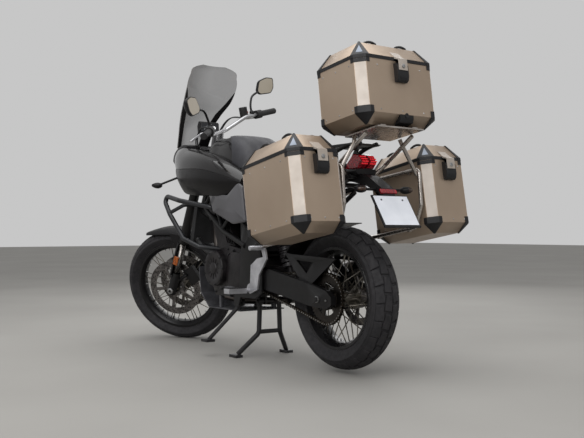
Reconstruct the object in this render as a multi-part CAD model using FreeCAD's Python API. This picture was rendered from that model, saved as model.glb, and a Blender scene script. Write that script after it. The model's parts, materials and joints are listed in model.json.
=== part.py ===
import FreeCAD, Part
import math
import os

# Adventure motorcycle on its centre stand, steering turned to its left lock.
# Millimetres. Built with the rear axle above X = 0, the floor at Z = 0,
# +X towards the front wheel, +Y to the rider's left, +Z up.

# Wheels
WHEELBASE = 1487.0
FRONT_RADIUS = 329.3
FRONT_WIDTH = 110.0
FRONT_CROWN = 60.0
FRONT_BEAD = 241.3
REAR_RADIUS = 320.9
REAR_WIDTH = 150.0
REAR_CROWN = 82.0
REAR_BEAD = 215.9
REAR_LIFT = 11.4
RIM_LIP = 13.0
RIM_WELL = 17.5
FRONT_RIM_WIDTH = 76.0
REAR_RIM_WIDTH = 112.0
TYRE_WALL = 11.0
SPOKES = 36
SPOKE = 3.6
DISC_OUTER = 160.0

# Steering head and fork
RAKE = 25.5
FORK_OFFSET = 35.0
STEER_LOCK = 36.4
LEG_SPREAD = 100.0
OUTER_TUBE = 27.0
INNER_TUBE = 21.5
FOOT_TOP = 110.0
OUTER_LOW = 300.0
LOWER_CLAMP = 640.0
UPPER_CLAMP = 842.0
CLAMP = 30.0
STEM = 19.7
HEAD_BORE = 20.0
HEAD_TUBE = 33.0
RISER_TOP = 944.0
BAR_RADIUS = 11.0

# Cases: length, width, height below the lid, lid height, nose-down angle
CASE_WALL = 2.0
SIDE_LENGTH = 400.0
SIDE_WIDTH = 255.0
SIDE_HEIGHT = 322.0
SIDE_TILT = 9.8
SIDE_INNER = 235.0
TOP_LENGTH = 308.0
TOP_WIDTH = 430.0
TOP_HEIGHT = 265.0
TOP_TILT = 7.8
LID_HEIGHT = 46.0
CORNER = 32.0
HINGE_RANGE = 95.0

# Engine, chain and swingarm
CHAIN_LINE = 100.0
CHAIN_WIDTH = 16.0
SPROCKET_PITCH = 112.0
PINION_PITCH = 38.0
PINION_X = 530.0
PINION_Z = 385.0
CHAIN_HALF = 7.0
ARM_IN = 125.0
ARM_OUT = 153.0
PLATE_IN = 158.0
PLATE_OUT = 168.0
PIVOT_X = 455.0
PIVOT_Z = 398.0

# Seats of the tank and the shock on the frame
TANK_REST_X = 850.0
TANK_REST_Z = 826.0
SHOCK_X = 492.0
SHOCK_Z = 652.0

# Stands
STAND_X = 590.0
STAND_Z = 282.0
FOOT_X = 660.0
FOOT_SPREAD = 155.0
LEG_TUBE = 12.0

FIT = 0.3
SIDE_PIVOT = FreeCAD.Vector(636, 134, 274)
SIDE_FOOT = FreeCAD.Vector(765, 250, 87)

rake = math.radians(RAKE)
up_axis = FreeCAD.Vector(-math.sin(rake), 0, math.cos(rake))
ahead = FreeCAD.Vector(math.cos(rake), 0, math.sin(rake))
side = FreeCAD.Vector(0, 1, 0)
REAR_AXLE_Z = REAR_RADIUS + REAR_LIFT


def vec(x, y, z):
    return FreeCAD.Vector(x, y, z)


def front_axle_height():
    """Height of the straight-ahead axle that puts the turned tyre on the floor."""
    lean = math.asin(math.sin(rake) * math.sin(math.radians(STEER_LOCK)))
    turned_height = (FRONT_RADIUS - FRONT_CROWN) * math.cos(lean) + FRONT_CROWN
    drop = FORK_OFFSET * (1 - math.cos(math.radians(STEER_LOCK))) * math.sin(rake)
    return turned_height + drop


FRONT_AXLE_Z = front_axle_height()
AXLE = vec(WHEELBASE, 0, FRONT_AXLE_Z)
HEAD = AXLE - ahead * FORK_OFFSET


def on_fork(forward, across, up):
    """Point on the fork: ahead of the steering axis, across it and up along it."""
    return HEAD + ahead * forward + side * across + up_axis * up


def turned(shape):
    copy = shape.copy()
    copy.rotate(HEAD, up_axis, STEER_LOCK)
    return copy


def moved(shape, x, y, z):
    copy = shape.copy()
    copy.translate(vec(x, y, z))
    return copy


def mirrored(shape):
    return shape.mirror(vec(0, 0, 0), vec(0, 1, 0))


def both(shape):
    return [shape, mirrored(shape)]


def joined(shapes):
    result = shapes[0]
    if len(shapes) > 1:
        result = result.multiFuse(shapes[1:])
    return result.removeSplitter()


def fitted(shape, *neighbours):
    """Shape with its neighbours' space taken out, so that it seats on them."""
    for neighbour in neighbours:
        shape = shape.cut(neighbour)
    return shape


def block(x0, x1, y0, y1, z0, z1):
    return Part.makeBox(x1 - x0, y1 - y0, z1 - z0, vec(x0, y0, z0))


def rod(start, end, radius):
    return Part.makeCylinder(radius, (end - start).Length, start, end - start)


def across(x, z, y0, y1, radius):
    """Round bar along Y."""
    return Part.makeCylinder(radius, y1 - y0, vec(x, y0, z), side)


def plate(outline, y0, y1):
    """Flat plate from an outline in X and Z."""
    corners = [vec(x, y0, z) for x, z in outline]
    face = Part.Face(Part.makePolygon(corners + corners[:1]))
    return face.extrude(vec(0, y1 - y0, 0))


def rounded_path(points, bend):
    """Straight runs joined by tangent arcs of one radius."""
    edges = []
    start = points[0]
    for before, corner, after in zip(points, points[1:], points[2:]):
        back = (before - corner).normalize()
        on = (after - corner).normalize()
        half = back.getAngle(on) / 2
        reach = bend / math.tan(half)
        first = corner + back * reach
        last = corner + on * reach
        middle = (back + on).normalize()
        centre = corner + middle * (bend / math.sin(half))
        if (first - start).Length > 0.01:
            edges.append(Part.LineSegment(start, first).toShape())
        edges.append(Part.Arc(first, centre - middle * bend, last).toShape())
        start = last
    edges.append(Part.LineSegment(start, points[-1]).toShape())
    return Part.Wire(edges)


def tube(points, radius, bend=40.0):
    """Round bar that follows straight runs and bends."""
    points = [vec(*point) for point in points]
    path = rounded_path(points, bend)
    circle = Part.Wire(Part.makeCircle(radius, points[0], points[1] - points[0]))
    return path.makePipeShell([circle], True, False)


def ring(profile):
    """Turns an outline of (radius, across) about the wheel's axis."""
    corners = [vec(radius, y, 0) for radius, y in profile]
    face = Part.Face(Part.makePolygon(corners + corners[:1]))
    return face.revolve(vec(0, 0, 0), side, 360)


def disc(outer, inner, y0, y1):
    return ring([(inner, y0), (outer, y0), (outer, y1), (inner, y1)])


# Wheels, built about an axle at the middle of the frame


def tyre(radius, width, crown, bead, rim_width):
    """Tyre with a round crown, hollow and open towards the rim."""
    lip = bead + RIM_LIP
    half = width / 2
    bead_half = rim_width / 2 - 6
    shoulder = half * 0.9
    shoulder_r = radius - crown + math.sqrt(crown ** 2 - shoulder ** 2)
    belly_r = (bead + radius) / 2 + 2
    wall = TYRE_WALL
    outer = [
        (bead + FIT, bead_half),
        (lip, bead_half + 2),
        (belly_r, half),
        (shoulder_r, shoulder),
    ]
    inner = [
        (radius - wall - 6, 0),
        (shoulder_r - wall, shoulder - wall),
        (belly_r, half - wall),
        (bead + FIT, bead_half - wall * 0.8),
    ]
    right = [vec(r, y, 0) for r, y in outer]
    left = [vec(r, -y, 0) for r, y in reversed(outer)]
    inside = [vec(r, y, 0) for r, y in inner]
    inside_back = [vec(r, -y, 0) for r, y in reversed(inner[1:])]
    edges = [Part.makePolygon(right)]
    edges.append(Part.Arc(right[-1], vec(radius, 0, 0), left[0]).toShape())
    edges.append(Part.makePolygon(left + inside_back + inside + right[:1]))
    face = Part.Face(Part.Wire([edge for part in edges for edge in part.Edges]))
    return face.revolve(vec(0, 0, 0), side, 360)


def rim(bead, width):
    """Channel-section rim with a well and two lips."""
    lip = bead + RIM_LIP
    well = bead - RIM_WELL
    half = width / 2
    return ring([
        (lip, half), (bead, half - 1), (well, half * 0.5), (well, -half * 0.5),
        (bead, -half + 1), (lip, -half), (lip, -half + 4), (bead, -half + 6),
        (bead - 9, -half * 0.45), (bead - 9, half * 0.45), (bead, half - 6), (lip, half - 4),
    ])


def spoked_hub(bead, flange, spread, hub):
    """Hub with two flanges and crossed spokes that reach the rim's well."""
    well = bead - RIM_WELL - FIT
    pieces = [
        disc(hub, 12.0, -spread - 6, spread + 6),
        disc(flange, 12.0, spread - 3, spread + 3),
        disc(flange, 12.0, -spread - 3, -spread + 3),
    ]
    step = 360.0 / SPOKES
    for index in range(SPOKES):
        at_side = 1 if index % 2 else -1
        sweep = 62.0 if index % 4 < 2 else -62.0
        start_angle = math.radians(index * step)
        end_angle = math.radians(index * step + sweep * 0.75)
        seat = flange - 5
        start = vec(seat * math.cos(start_angle), at_side * spread, seat * math.sin(start_angle))
        end = vec(well * math.cos(end_angle), at_side * 8, well * math.sin(end_angle))
        pieces.append(spoke(start, end))
    return joined(pieces).common(Part.makeCylinder(well, 400, vec(0, -200, 0), side))


def spoke(start, end):
    """Square wire from a hub flange to the rim."""
    along = (end - start).normalize()
    wide = along.cross(side).normalize() * (SPOKE / 2)
    deep = along.cross(wide).normalize() * (SPOKE / 2)
    base = start - along * 2
    corners = [base + wide + deep, base - wide + deep, base - wide - deep, base + wide - deep]
    face = Part.Face(Part.makePolygon(corners + corners[:1]))
    return face.extrude(end + along * 6 - base)


def brake_disc(outer, inner, hub, y0, y1):
    """Braking ring on five arms."""
    pieces = [disc(outer, inner, y0, y1), disc(hub, 26.0, y0, y1)]
    for index in range(5):
        arm = block(hub - 6, inner + 4, -9, 9, 0, y1 - y0)
        arm.rotate(vec(0, 0, 0), vec(1, 0, 0), 90)
        arm.translate(vec(0, y1, 0))
        arm.rotate(vec(0, 0, 0), side, 72 * index)
        pieces.append(arm)
    return joined(pieces)


def at_front(shape):
    return turned(moved(shape, AXLE.x, AXLE.y, AXLE.z))


def at_rear(shape):
    return moved(shape, 0, 0, REAR_AXLE_Z)


def front_wheel():
    discs = brake_disc(DISC_OUTER, 122.0, 50.0, 62.0, 67.0)
    return {
        "front_tyre": at_front(tyre(FRONT_RADIUS, FRONT_WIDTH, FRONT_CROWN, FRONT_BEAD, FRONT_RIM_WIDTH)),
        "front_rim": at_front(rim(FRONT_BEAD, FRONT_RIM_WIDTH)),
        "front_hub": at_front(spoked_hub(FRONT_BEAD, 44.0, 42.0, 26.0)),
        "front_discs": at_front(Part.Compound(both(joined([discs, disc(50.0, 26.0, 45.0, 63.0)])))),
    }


def rear_wheel():
    sprocket_tip = SPROCKET_PITCH - CHAIN_HALF - 0.6
    sprocket = joined([
        disc(sprocket_tip, 82.0, CHAIN_LINE - 3, CHAIN_LINE + 3),
        brake_disc(84.0, 74.0, 44.0, CHAIN_LINE - 3, CHAIN_LINE + 3),
        disc(48.0, 30.0, 56.0, CHAIN_LINE),
    ])
    rear_disc = joined([
        brake_disc(130.0, 96.0, 50.0, -98.0, -93.0),
        disc(48.0, 30.0, -96.0, -56.0),
    ])
    return {
        "rear_tyre": at_rear(tyre(REAR_RADIUS, REAR_WIDTH, REAR_CROWN, REAR_BEAD, REAR_RIM_WIDTH)),
        "rear_rim": at_rear(rim(REAR_BEAD, REAR_RIM_WIDTH)),
        "rear_hub": at_rear(spoked_hub(REAR_BEAD, 54.0, 50.0, 30.0)),
        "rear_sprocket": at_rear(sprocket),
        "rear_disc": at_rear(rear_disc),
    }


# Steering: everything here is built straight ahead, then turned to the lock


def fork_outers():
    """Upper fork tubes with both clamps and the stem between them."""
    pieces = []
    for y in (LEG_SPREAD, -LEG_SPREAD):
        pieces.append(rod(on_fork(FORK_OFFSET, y, OUTER_LOW), on_fork(FORK_OFFSET, y, UPPER_CLAMP + 28), OUTER_TUBE))
    for level in (LOWER_CLAMP, UPPER_CLAMP):
        pieces.append(clamp(level))
    pieces.append(rod(on_fork(0, 0, LOWER_CLAMP - 10), on_fork(0, 0, UPPER_CLAMP + 10), STEM))
    return turned(joined(pieces))


def clamp(level):
    """Flat yoke that holds both tubes and the stem."""
    half = CLAMP / 2
    outline = [(-32, 26), (-32, -26), (14, -LEG_SPREAD - 32), (62, -LEG_SPREAD - 32), (70, -LEG_SPREAD + 20),
               (30, -30), (30, 30), (70, LEG_SPREAD - 20), (62, LEG_SPREAD + 32), (14, LEG_SPREAD + 32)]
    corners = [on_fork(u, v, level - half) for u, v in outline]
    face = Part.Face(Part.makePolygon(corners + corners[:1]))
    return face.extrude(up_axis * CLAMP)


def fork_inners():
    pieces = []
    for y in (LEG_SPREAD, -LEG_SPREAD):
        pieces.append(rod(on_fork(FORK_OFFSET, y, FOOT_TOP), on_fork(FORK_OFFSET, y, OUTER_LOW), INNER_TUBE))
    return turned(Part.Compound(pieces))


def fork_feet():
    """Axle carriers, the axle and the brake calipers behind the legs."""
    pieces = [rod(on_fork(FORK_OFFSET, -128, 0), on_fork(FORK_OFFSET, 128, 0), 11.5)]
    for sign in (1, -1):
        y = sign * LEG_SPREAD
        pieces.append(rod(on_fork(FORK_OFFSET, y, -24), on_fork(FORK_OFFSET, y, FOOT_TOP), 25.0))
        pieces.append(caliper(sign))
    return turned(joined(pieces))


def caliper(sign):
    """Caliper that straddles the disc behind the leg, on an arm from the foot."""
    body = Part.makeBox(96, 31, DISC_OUTER + 20 - 112, vec(-48, 47, 112))
    slot = Part.makeBox(110, 15, DISC_OUTER + 6 - 100, vec(-55, 57, 100))
    body = body.cut(slot)
    body.rotate(vec(0, 0, 0), side, -62)
    arm = rod(vec(-8, LEG_SPREAD - 14, 34), vec(-104, 84, 78), 10.0)
    whole = joined([body, arm])
    whole.translate(AXLE)
    return whole if sign > 0 else mirrored(whole)


def front_fender():
    """Arched mudguard over the tyre, joined to the legs by stays."""
    radius = FRONT_RADIUS + 26
    outer = arc_band(radius, radius + 5, 62, 150, -66, 66)
    left = arc_band(radius - 46, radius + 5, 74, 142, 62, 66)
    right = arc_band(radius - 46, radius + 5, 74, 142, -66, -62)
    stays = []
    for y0, y1 in ((62, 78), (-78, -62)):
        stays.append(arc_band(radius - 46, radius - 20, 104, 120, y0, y1))
    whole = joined([outer, left, right] + stays)
    whole.translate(AXLE)
    legs = [rod(on_fork(FORK_OFFSET, y, 250), on_fork(FORK_OFFSET, y, 500), OUTER_TUBE) for y in (LEG_SPREAD, -LEG_SPREAD)]
    return turned(fitted(whole, *legs))


def arc_band(inner, outer, start, end, y0, y1):
    """Part of a ring about the axle, angles from straight ahead upwards."""
    full = Part.makeCylinder(outer, y1 - y0, vec(0, y0, 0), side, 360)
    full = full.cut(Part.makeCylinder(inner, y1 - y0, vec(0, y0, 0), side, 360))
    reach = outer * 3
    a0, a1 = math.radians(start), math.radians(end)
    middle = (a0 + a1) / 2
    corners = [vec(0, y0, 0)]
    for angle in (a0, middle, a1):
        corners.append(vec(reach * math.cos(angle), y0, reach * math.sin(angle)))
    wedge = Part.Face(Part.makePolygon(corners + corners[:1])).extrude(vec(0, y1 - y0, 0))
    return full.common(wedge)


BAR_POINTS = [
    (919, 480, 1212), (985, 215, 1221), (1067, 92, 1172),
    (1067, -92, 1172), (985, -215, 1221), (919, -480, 1212),
]


def handlebar():
    """Wide bar on two risers, with the brake and clutch levers."""
    pieces = [tube(BAR_POINTS, BAR_RADIUS, 60.0)]
    for y in (42, -42):
        pieces.append(rod(on_fork(12, y, UPPER_CLAMP + CLAMP / 2), vec(1067, y, 1176), 15.0))
    for sign in (1, -1):
        lever = tube([(985, sign * 262, 1214), (1030, sign * 300, 1205), (1010, sign * 455, 1190)], 6.0, 30.0)
        clamp_block = rod(vec(968, sign * 262, 1221), vec(995, sign * 262, 1212), 12.0)
        pieces += [lever, clamp_block]
    return turned(joined(pieces))


def hand_controls():
    """Grips, switch housings and the brake fluid cup."""
    pieces = []
    for sign in (1, -1):
        end = vec(919, sign * 480, 1212)
        start = vec(985, sign * 215, 1221)
        along = (end - start).normalize()
        grip = rod(end - along * 128, end + along * 8, 17.0)
        switch = rod(end - along * 178, end - along * 132, 24.0)
        bore = rod(end - along * 190, end, BAR_RADIUS + FIT)
        pieces += [grip.cut(bore), switch.cut(bore)]
    cup = Part.makeCylinder(23, 58, vec(1000, -232, 1218), vec(0, 0, 1))
    pieces.append(cup)
    return turned(Part.Compound(pieces))


def mirrors():
    """Hexagonal mirrors on bent stems."""
    pieces = []
    for sign in (1, -1):
        stem = tube([(967, sign * 286, 1219), (974, sign * 292, 1288), (958, sign * 440, 1350)], 6.0, 25.0)
        head = mirror_head(sign)
        pieces.append(joined([stem, head]))
    return turned(Part.Compound(pieces))


def mirror_head(sign):
    outline = [(-62, -18), (-40, -42), (48, -38), (66, -6), (52, 34), (-44, 40)]
    corners = [vec(0, u, v) for u, v in outline]
    face = Part.Face(Part.makePolygon(corners + corners[:1]))
    head = face.extrude(vec(26, 0, 0))
    head.translate(vec(948, 492, 1366))
    return head if sign > 0 else mirrored(head)


# Frame, engine and running gear


def main_frame():
    """Head tube, tubular side frames, pivot plates and the tail rails."""
    pieces = []
    head = rod(on_fork(0, 0, LOWER_CLAMP + CLAMP / 2 + 5), on_fork(0, 0, UPPER_CLAMP - CLAMP / 2 - 5), HEAD_TUBE)
    pieces.append(head)
    upper = [(1102, 16, 1026), (1000, 118, 880), (620, 150, 700), (500, 163, 620)]
    lower = [(1134, 18, 958), (1060, 70, 859), (1020, 120, 760), (780, 150, 630), (560, 163, 560)]
    rail = [(560, 150, 690), (360, 118, 770), (0, 100, 840), (-120, 70, 872)]
    stay = [(470, 163, 560), (200, 130, 740), (60, 112, 810)]
    for points, radius in ((upper, 17.0), (lower, 15.0), (rail, 13.0), (stay, 11.0)):
        pieces += both(tube(points, radius, 60.0))
    braces = [((1020, 122, 762), (930, 128, 842)), ((930, 128, 842), (800, 146, 640)), ((800, 146, 640), (700, 146, 735))]
    for start, end in braces:
        pieces += both(rod(vec(*start), vec(*end), 11.0))
    outline = [(600, 700), (520, 720), (455, 640), (410, 470), (415, 340), (470, 305), (600, 305), (618, 262), (636, 256), (654, 262), (662, 300), (612, 360), (592, 560)]
    pieces += both(plate(outline, PLATE_IN, PLATE_OUT))
    for x, z in ((0, 838), (380, 764), (-118, 870)):
        half = 112 if x > 300 else 98 if x == 0 else 70
        pieces.append(across(x, z, -half, half, 11.0))
    pieces.append(across(PIVOT_X, PIVOT_Z, -PLATE_IN - 4, PLATE_IN + 4, 14.0))
    pieces.append(across(TANK_REST_X, TANK_REST_Z, -134, 134, 11.0))
    pieces.append(across(SHOCK_X, SHOCK_Z, -PLATE_IN - 4, PLATE_IN + 4, 13.0))
    pieces.append(across(SIDE_PIVOT.x, SIDE_PIVOT.z, 122, PLATE_IN + 2, 7.0))
    nose_stay = [tuple(on_fork(24, 0, 742)), tuple(on_fork(128, 0, 742)), (1294, 0, 1100)]
    pieces.append(tube(nose_stay, 11.0, 40.0))
    whole = joined(pieces)
    whole = whole.cut(rod(on_fork(0, 0, LOWER_CLAMP - 40), on_fork(0, 0, UPPER_CLAMP + 40), HEAD_BORE))
    return fitted(whole, nose_fairing())


def engine():
    """Crankcase block, inclined cylinders with cover, and round side covers."""
    case = plate([(580, 470), (580, 330), (640, 300), (880, 300), (930, 380), (900, 520), (760, 560), (620, 540)], -140, 140)
    gearbox = block(500, 590, -120, 80, 330, 455)
    cylinders = plate([(720, 540), (880, 510), (960, 690), (810, 740)], -115, 115)
    head = plate([(806, 735), (962, 688), (985, 745), (950, 800), (850, 815)], -125, 125)
    cover = across(850, 440, 138, 172, 92.0)
    clutch = across(790, 420, -178, -138, 105.0)
    sprocket_cover = across(PINION_X, PINION_Z, 112, 152, 58.0)
    bridge = block(PINION_X + 10, 620, 112, 150, PINION_Z - 40, PINION_Z + 50)
    shaft = across(PINION_X, PINION_Z, 70, 118, 14.0)
    pinion = across(PINION_X, PINION_Z, CHAIN_LINE - 4, CHAIN_LINE + 4, PINION_PITCH - CHAIN_HALF - 0.6)
    bosses = [across(x, z, -PLATE_IN, PLATE_IN, 13.0) for x, z in ((600, 510), (604, 330))]
    return joined([case, gearbox, cylinders, head, cover, clutch, sprocket_cover, bridge, shaft, pinion] + bosses + stand_lugs())


def radiator():
    body = block(-16, 16, -150, 150, 0, 205)
    body.rotate(vec(0, 0, 0), side, -14)
    body.translate(vec(1118, 0, 570))
    ears = both(rod(vec(1066, 100, 740), vec(1030, 112, 765), 9.0))
    return joined([body] + ears)


def skid_plate():
    """Bent plate under the engine."""
    outer = [(650, 228), (960, 228), (1045, 300), (1068, 440), (1062, 442), (1040, 304), (958, 234), (650, 234)]
    return joined([plate(outer, -135, 135)] + [block(860, 880, y - 10, y + 10, 234, 300) for y in (110, -110)]
                  + [block(700, 720, y - 10, y + 10, 234, 300) for y in (110, -110)])


def exhaust():
    """Two headers that join under the engine and rise to the silencer."""
    pieces = []
    for y in (50, -50):
        start = vec(973.5, y, 716.5)
        knee = start + vec(57, 0, -23).normalize() * 58
        path = [tuple(start), tuple(knee), (1004, y, 420), (985, y * 0.8, 288), (840, -20 + y * 0.3, 266)]
        pieces.append(tube(path, 18.0, 42.0))
    pieces.append(tube([(870, -18, 266), (770, -130, 262), (684, -200, 272), (500, -206, 288), (400, -212, 350), (330, -213, 396)], 21.0, 50.0))
    can = loft_round([(345, -212, 392, 30, 34), (310, -215, 408, 44, 58), (40, -215, 470, 44, 60), (10, -215, 478, 30, 42)])
    pieces.append(can)
    return joined(pieces)


def loft_round(rows):
    """Loft of ellipses: x, y, z of the centre, half width, half height."""
    wires = []
    for x, y, z, wide, high in rows:
        if high >= wide:
            curve = Part.Ellipse(vec(x, y, z + high), vec(x, y + wide, z), vec(x, y, z))
        else:
            curve = Part.Ellipse(vec(x, y + wide, z), vec(x, y, z + high), vec(x, y, z))
        wires.append(Part.Wire(curve.toShape()))
    return Part.makeLoft(wires, True, True)


def swingarm():
    """Two box arms with a cross box inside the chain, side brace and rear mudguard."""
    arm = plate([(470, 428), (380, 452), (80, 400), (-60, 372), (-95, 345), (-95, 312), (-60, 292), (60, 300), (400, 352), (470, 368)], ARM_IN, ARM_OUT)
    brace = plate([(283, 534), (236, 526), (-94, 511), (96, 380), (130, 380)], ARM_IN - 8, ARM_IN + 4)
    window = plate([(190, 500), (60, 492), (112, 440)], ARM_IN - 20, ARM_IN + 20)
    brace = brace.cut(window)
    cross = block(345, 425, -ARM_IN, ARM_IN, 352, 404)
    guard = arc_band(REAR_RADIUS + 14, REAR_RADIUS + 18, 30, 86, -ARM_IN, ARM_IN)
    guard.translate(vec(0, 0, REAR_AXLE_Z))
    axle = across(0, REAR_AXLE_Z, -ARM_OUT - 12, ARM_OUT + 12, 11.5)
    whole = joined(both(arm) + both(brace) + [cross, guard, axle])
    return whole.cut(across(PIVOT_X, PIVOT_Z, -200, 200, 14.0 + FIT))


def rear_shock():
    bottom = vec(392, 0, 404.3)
    top = vec(SHOCK_X, 0, SHOCK_Z)
    pieces = [rod(bottom, top, 17.0)]
    along = (top - bottom).normalize()
    for index in range(7):
        at = bottom + along * (60 + index * 26)
        pieces.append(rod(at, at + along * 11, 37.0))
    return joined(pieces)


def chain():
    """Closed loop of chain round both sprockets."""
    outer = belt(SPROCKET_PITCH + CHAIN_HALF, PINION_PITCH + CHAIN_HALF)
    inner = belt(SPROCKET_PITCH - CHAIN_HALF, PINION_PITCH - CHAIN_HALF)
    return Part.Face([outer, inner]).extrude(vec(0, CHAIN_WIDTH, 0))


def belt(rear, front):
    """Outline of a belt round two wheels."""
    dx = PINION_X
    dz = PINION_Z - REAR_AXLE_Z
    length = math.hypot(dx, dz)
    slope = math.atan2(dz, dx)
    lean = math.asin((rear - front) / length)
    y = CHAIN_LINE - CHAIN_WIDTH / 2

    def point(x, z, radius, angle):
        return vec(x + radius * math.cos(angle), y, z + radius * math.sin(angle))

    high = slope + math.pi / 2 - lean
    low = slope - math.pi / 2 + lean
    a = point(0, REAR_AXLE_Z, rear, high)
    b = point(0, REAR_AXLE_Z, rear, slope + math.pi)
    c = point(0, REAR_AXLE_Z, rear, low)
    d = point(PINION_X, PINION_Z, front, low)
    e = point(PINION_X, PINION_Z, front, slope)
    f = point(PINION_X, PINION_Z, front, high)
    edges = [Part.Arc(a, b, c), Part.LineSegment(c, d), Part.Arc(d, e, f), Part.LineSegment(f, a)]
    return Part.Wire([edge.toShape() for edge in edges])


# Bodywork


def shoulder_section(x, z_low, w_low, z_side, w_side, z_top, w_top):
    """Section across the bike: straight sides, arched shoulders and a flat top."""
    low = vec(x, w_low, z_low)
    hip = vec(x, w_side, z_side)
    crown = vec(x, w_top, z_top)
    middle = vec(x, w_top + (w_side - w_top) * 0.72, z_side + (z_top - z_side) * 0.72)
    flip = FreeCAD.Matrix()
    flip.A22 = -1
    mirror = [flip.multiply(point) for point in (low, hip, middle, crown)]
    edges = [
        Part.LineSegment(low, hip), Part.Arc(hip, middle, crown),
        Part.LineSegment(crown, mirror[3]), Part.Arc(mirror[3], mirror[2], mirror[1]),
        Part.LineSegment(mirror[1], mirror[0]), Part.LineSegment(mirror[0], low),
    ]
    return Part.Wire([edge.toShape() for edge in edges])


def shoulder_loft(rows):
    return Part.makeLoft([shoulder_section(*row) for row in rows], True, True)


def fuel_tank():
    """Columns: x, low z, low half width, side z, side half width, top z, top half width."""
    low = TANK_REST_Z + 11 + FIT
    return shoulder_loft([
        (1010, low + 112, 60, 1010, 112, 1088, 70),
        (950, low + 60, 90, 990, 148, 1122, 90),
        (TANK_REST_X, low, 100, 980, 152, 1122, 90),
        (700, low - 30, 100, 950, 150, 1060, 80),
        (560, low - 50, 80, 880, 118, 940, 60),
    ])


def tank_cover():
    """Textured cover on the tank's rear slope."""
    return shoulder_loft([
        (700, 1046, 70, 1056, 79, 1072, 62),
        (640, 998, 68, 1006, 77, 1021, 60),
        (562, 930, 50, 938, 64, 950, 48),
    ])


def shrouds():
    """Side fairings. Columns: x, inner y, low z, belly y, belly z, top y, top z."""
    rows = [
        (1284, 140, 1040, 155, 1050, 146, 1090),
        (1200, 150, 905, 215, 930, 165, 1108),
        (1000, 146, 836, 290, 862, 178, 1110),
        (800, 146, 822, 282, 850, 196, 1045),
        (560, 112, 812, 240, 838, 190, 930),
    ]
    wires = []
    for x, y_in, z_low, y_belly, z_belly, y_top, z_top in rows:
        corners = [vec(x, y_in, z_low), vec(x, y_belly, z_belly), vec(x, y_top, z_top), vec(x, y_in, z_top - 20)]
        wires.append(Part.makePolygon(corners + corners[:1]))
    return Part.Compound(both(Part.makeLoft(wires, True, True)))


def side_panels():
    outline = [(744, 822), (600, 812), (494, 860), (440, 850), (430, 760), (457, 708), (530, 668), (611, 691), (650, 745)]
    return Part.Compound(both(plate(outline, 205, 225)))


def airbox():
    """Plain housing that fills the frame between the engine and the seat."""
    return block(545, 700, -105, 105, 530, 765)


def seat():
    """Rider's and passenger's cushions on one base."""
    rider = shoulder_loft([
        (560 - FIT, 800, 76, 850, 96, 880, 60),
        (500, 792, 90, 830, 112, 862, 80),
        (330, 790, 110, 830, 135, 858, 105),
    ])
    passenger = shoulder_loft([
        (330, 800, 110, 880, 130, 925, 95),
        (60, 862, 95, 905, 120, 940, 90),
        (-30, 880, 80, 905, 100, 925, 70),
    ])
    return joined([rider, passenger])


def tail_unit():
    return shoulder_loft([
        (-30 - FIT, 852, 60, 875, 92, 898, 70),
        (-140, 876, 50, 886, 64, 898, 50),
    ])


def tail_lamp():
    return block(-132, -40, -58, 58, 898 + FIT, 945)


def number_plate():
    """Blank plate on its bent holder below the tail."""
    panel = block(-95, 95, 0, 4, -140, 0)
    panel.rotate(vec(0, 0, 0), vec(0, 0, 1), 90)
    panel.rotate(vec(0, 0, 0), side, 29)
    panel.translate(vec(-296, 0, 774))
    arm = plate([(-124, 872), (-138, 882), (-300, 800), (-320, 740), (-300, 745), (-284, 790)], -30, 30)
    return joined([panel, arm])


def indicators():
    pieces = []
    rear = joined([rod(vec(-262, 28, 806), vec(-262, 105, 806), 6.0), block(-284, -244, 96, 136, 794, 820)])
    front = joined([rod(vec(1214, 176, 934), vec(1250, 262, 884), 7.0), block(1240, 1306, 250, 300, 866, 896)])
    for item in (rear, front):
        pieces += both(item)
    return Part.Compound(pieces)


def nose_fairing():
    """Columns: x, low z, low half width, side z, side half width, top z, top half width."""
    return shoulder_loft([
        (1436, 1150, 40, 1175, 60, 1205, 35),
        (1380, 1105, 70, 1170, 112, 1240, 70),
        (1290, 1085, 90, 1160, 145, 1265, 100),
        (1215, 1175, 90, 1190, 140, 1250, 100),
    ])


def lamp_space():
    """Room for both headlamp lenses in the nose."""
    return both(block(1340, 1460, 14, 100, 1168, 1212))


def headlamps():
    lenses = [nose_fairing().common(space) for space in lamp_space()]
    return Part.Compound([solid for lens in lenses for solid in lens.Solids])


def windscreen():
    """Curved screen. Columns: centre x, edge x, z, half width."""
    rows = [(1340, 1300, 1250, 115), (1262, 1205, 1390, 160), (1200, 1146, 1480, 148), (1150, 1132, 1550, 90)]
    wires = []
    for x_mid, x_edge, z, half in rows:
        front = Part.Arc(vec(x_edge, -half, z), vec(x_mid, 0, z), vec(x_edge, half, z)).toShape()
        back = Part.Arc(vec(x_edge - 5, half, z), vec(x_mid - 5, 0, z), vec(x_edge - 5, -half, z)).toShape()
        right = Part.LineSegment(vec(x_edge, half, z), vec(x_edge - 5, half, z)).toShape()
        left = Part.LineSegment(vec(x_edge - 5, -half, z), vec(x_edge, -half, z)).toShape()
        wires.append(Part.Wire([front, right, back, left]))
    return Part.makeLoft(wires, True, True)


def dash():
    """Instrument housing and the stays that carry the nose and the screen."""
    pieces = [block(1180, 1222, -95, 95, 1245, 1325)]
    for points in ([(1215, 80, 1230), (1250, 80, 1330), (1215, 80, 1420)],):
        pieces += both(tube(points, 7.0, 20.0))
    return joined(pieces)


def crash_bars():
    main = [(815, 140, 742), (830, 205, 755), (1010, 285, 792), (1222, 272, 830), (1100, 292, 722), (986, 272, 592), (900, 230, 552), (850, 138, 540)]
    link = [(1096, 292, 730), (1040, 240, 770), (1012, 128, 772)]
    return Part.Compound(both(joined([tube(main, 12.5, 22.0), tube(link, 10.0, 22.0)])))


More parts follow.
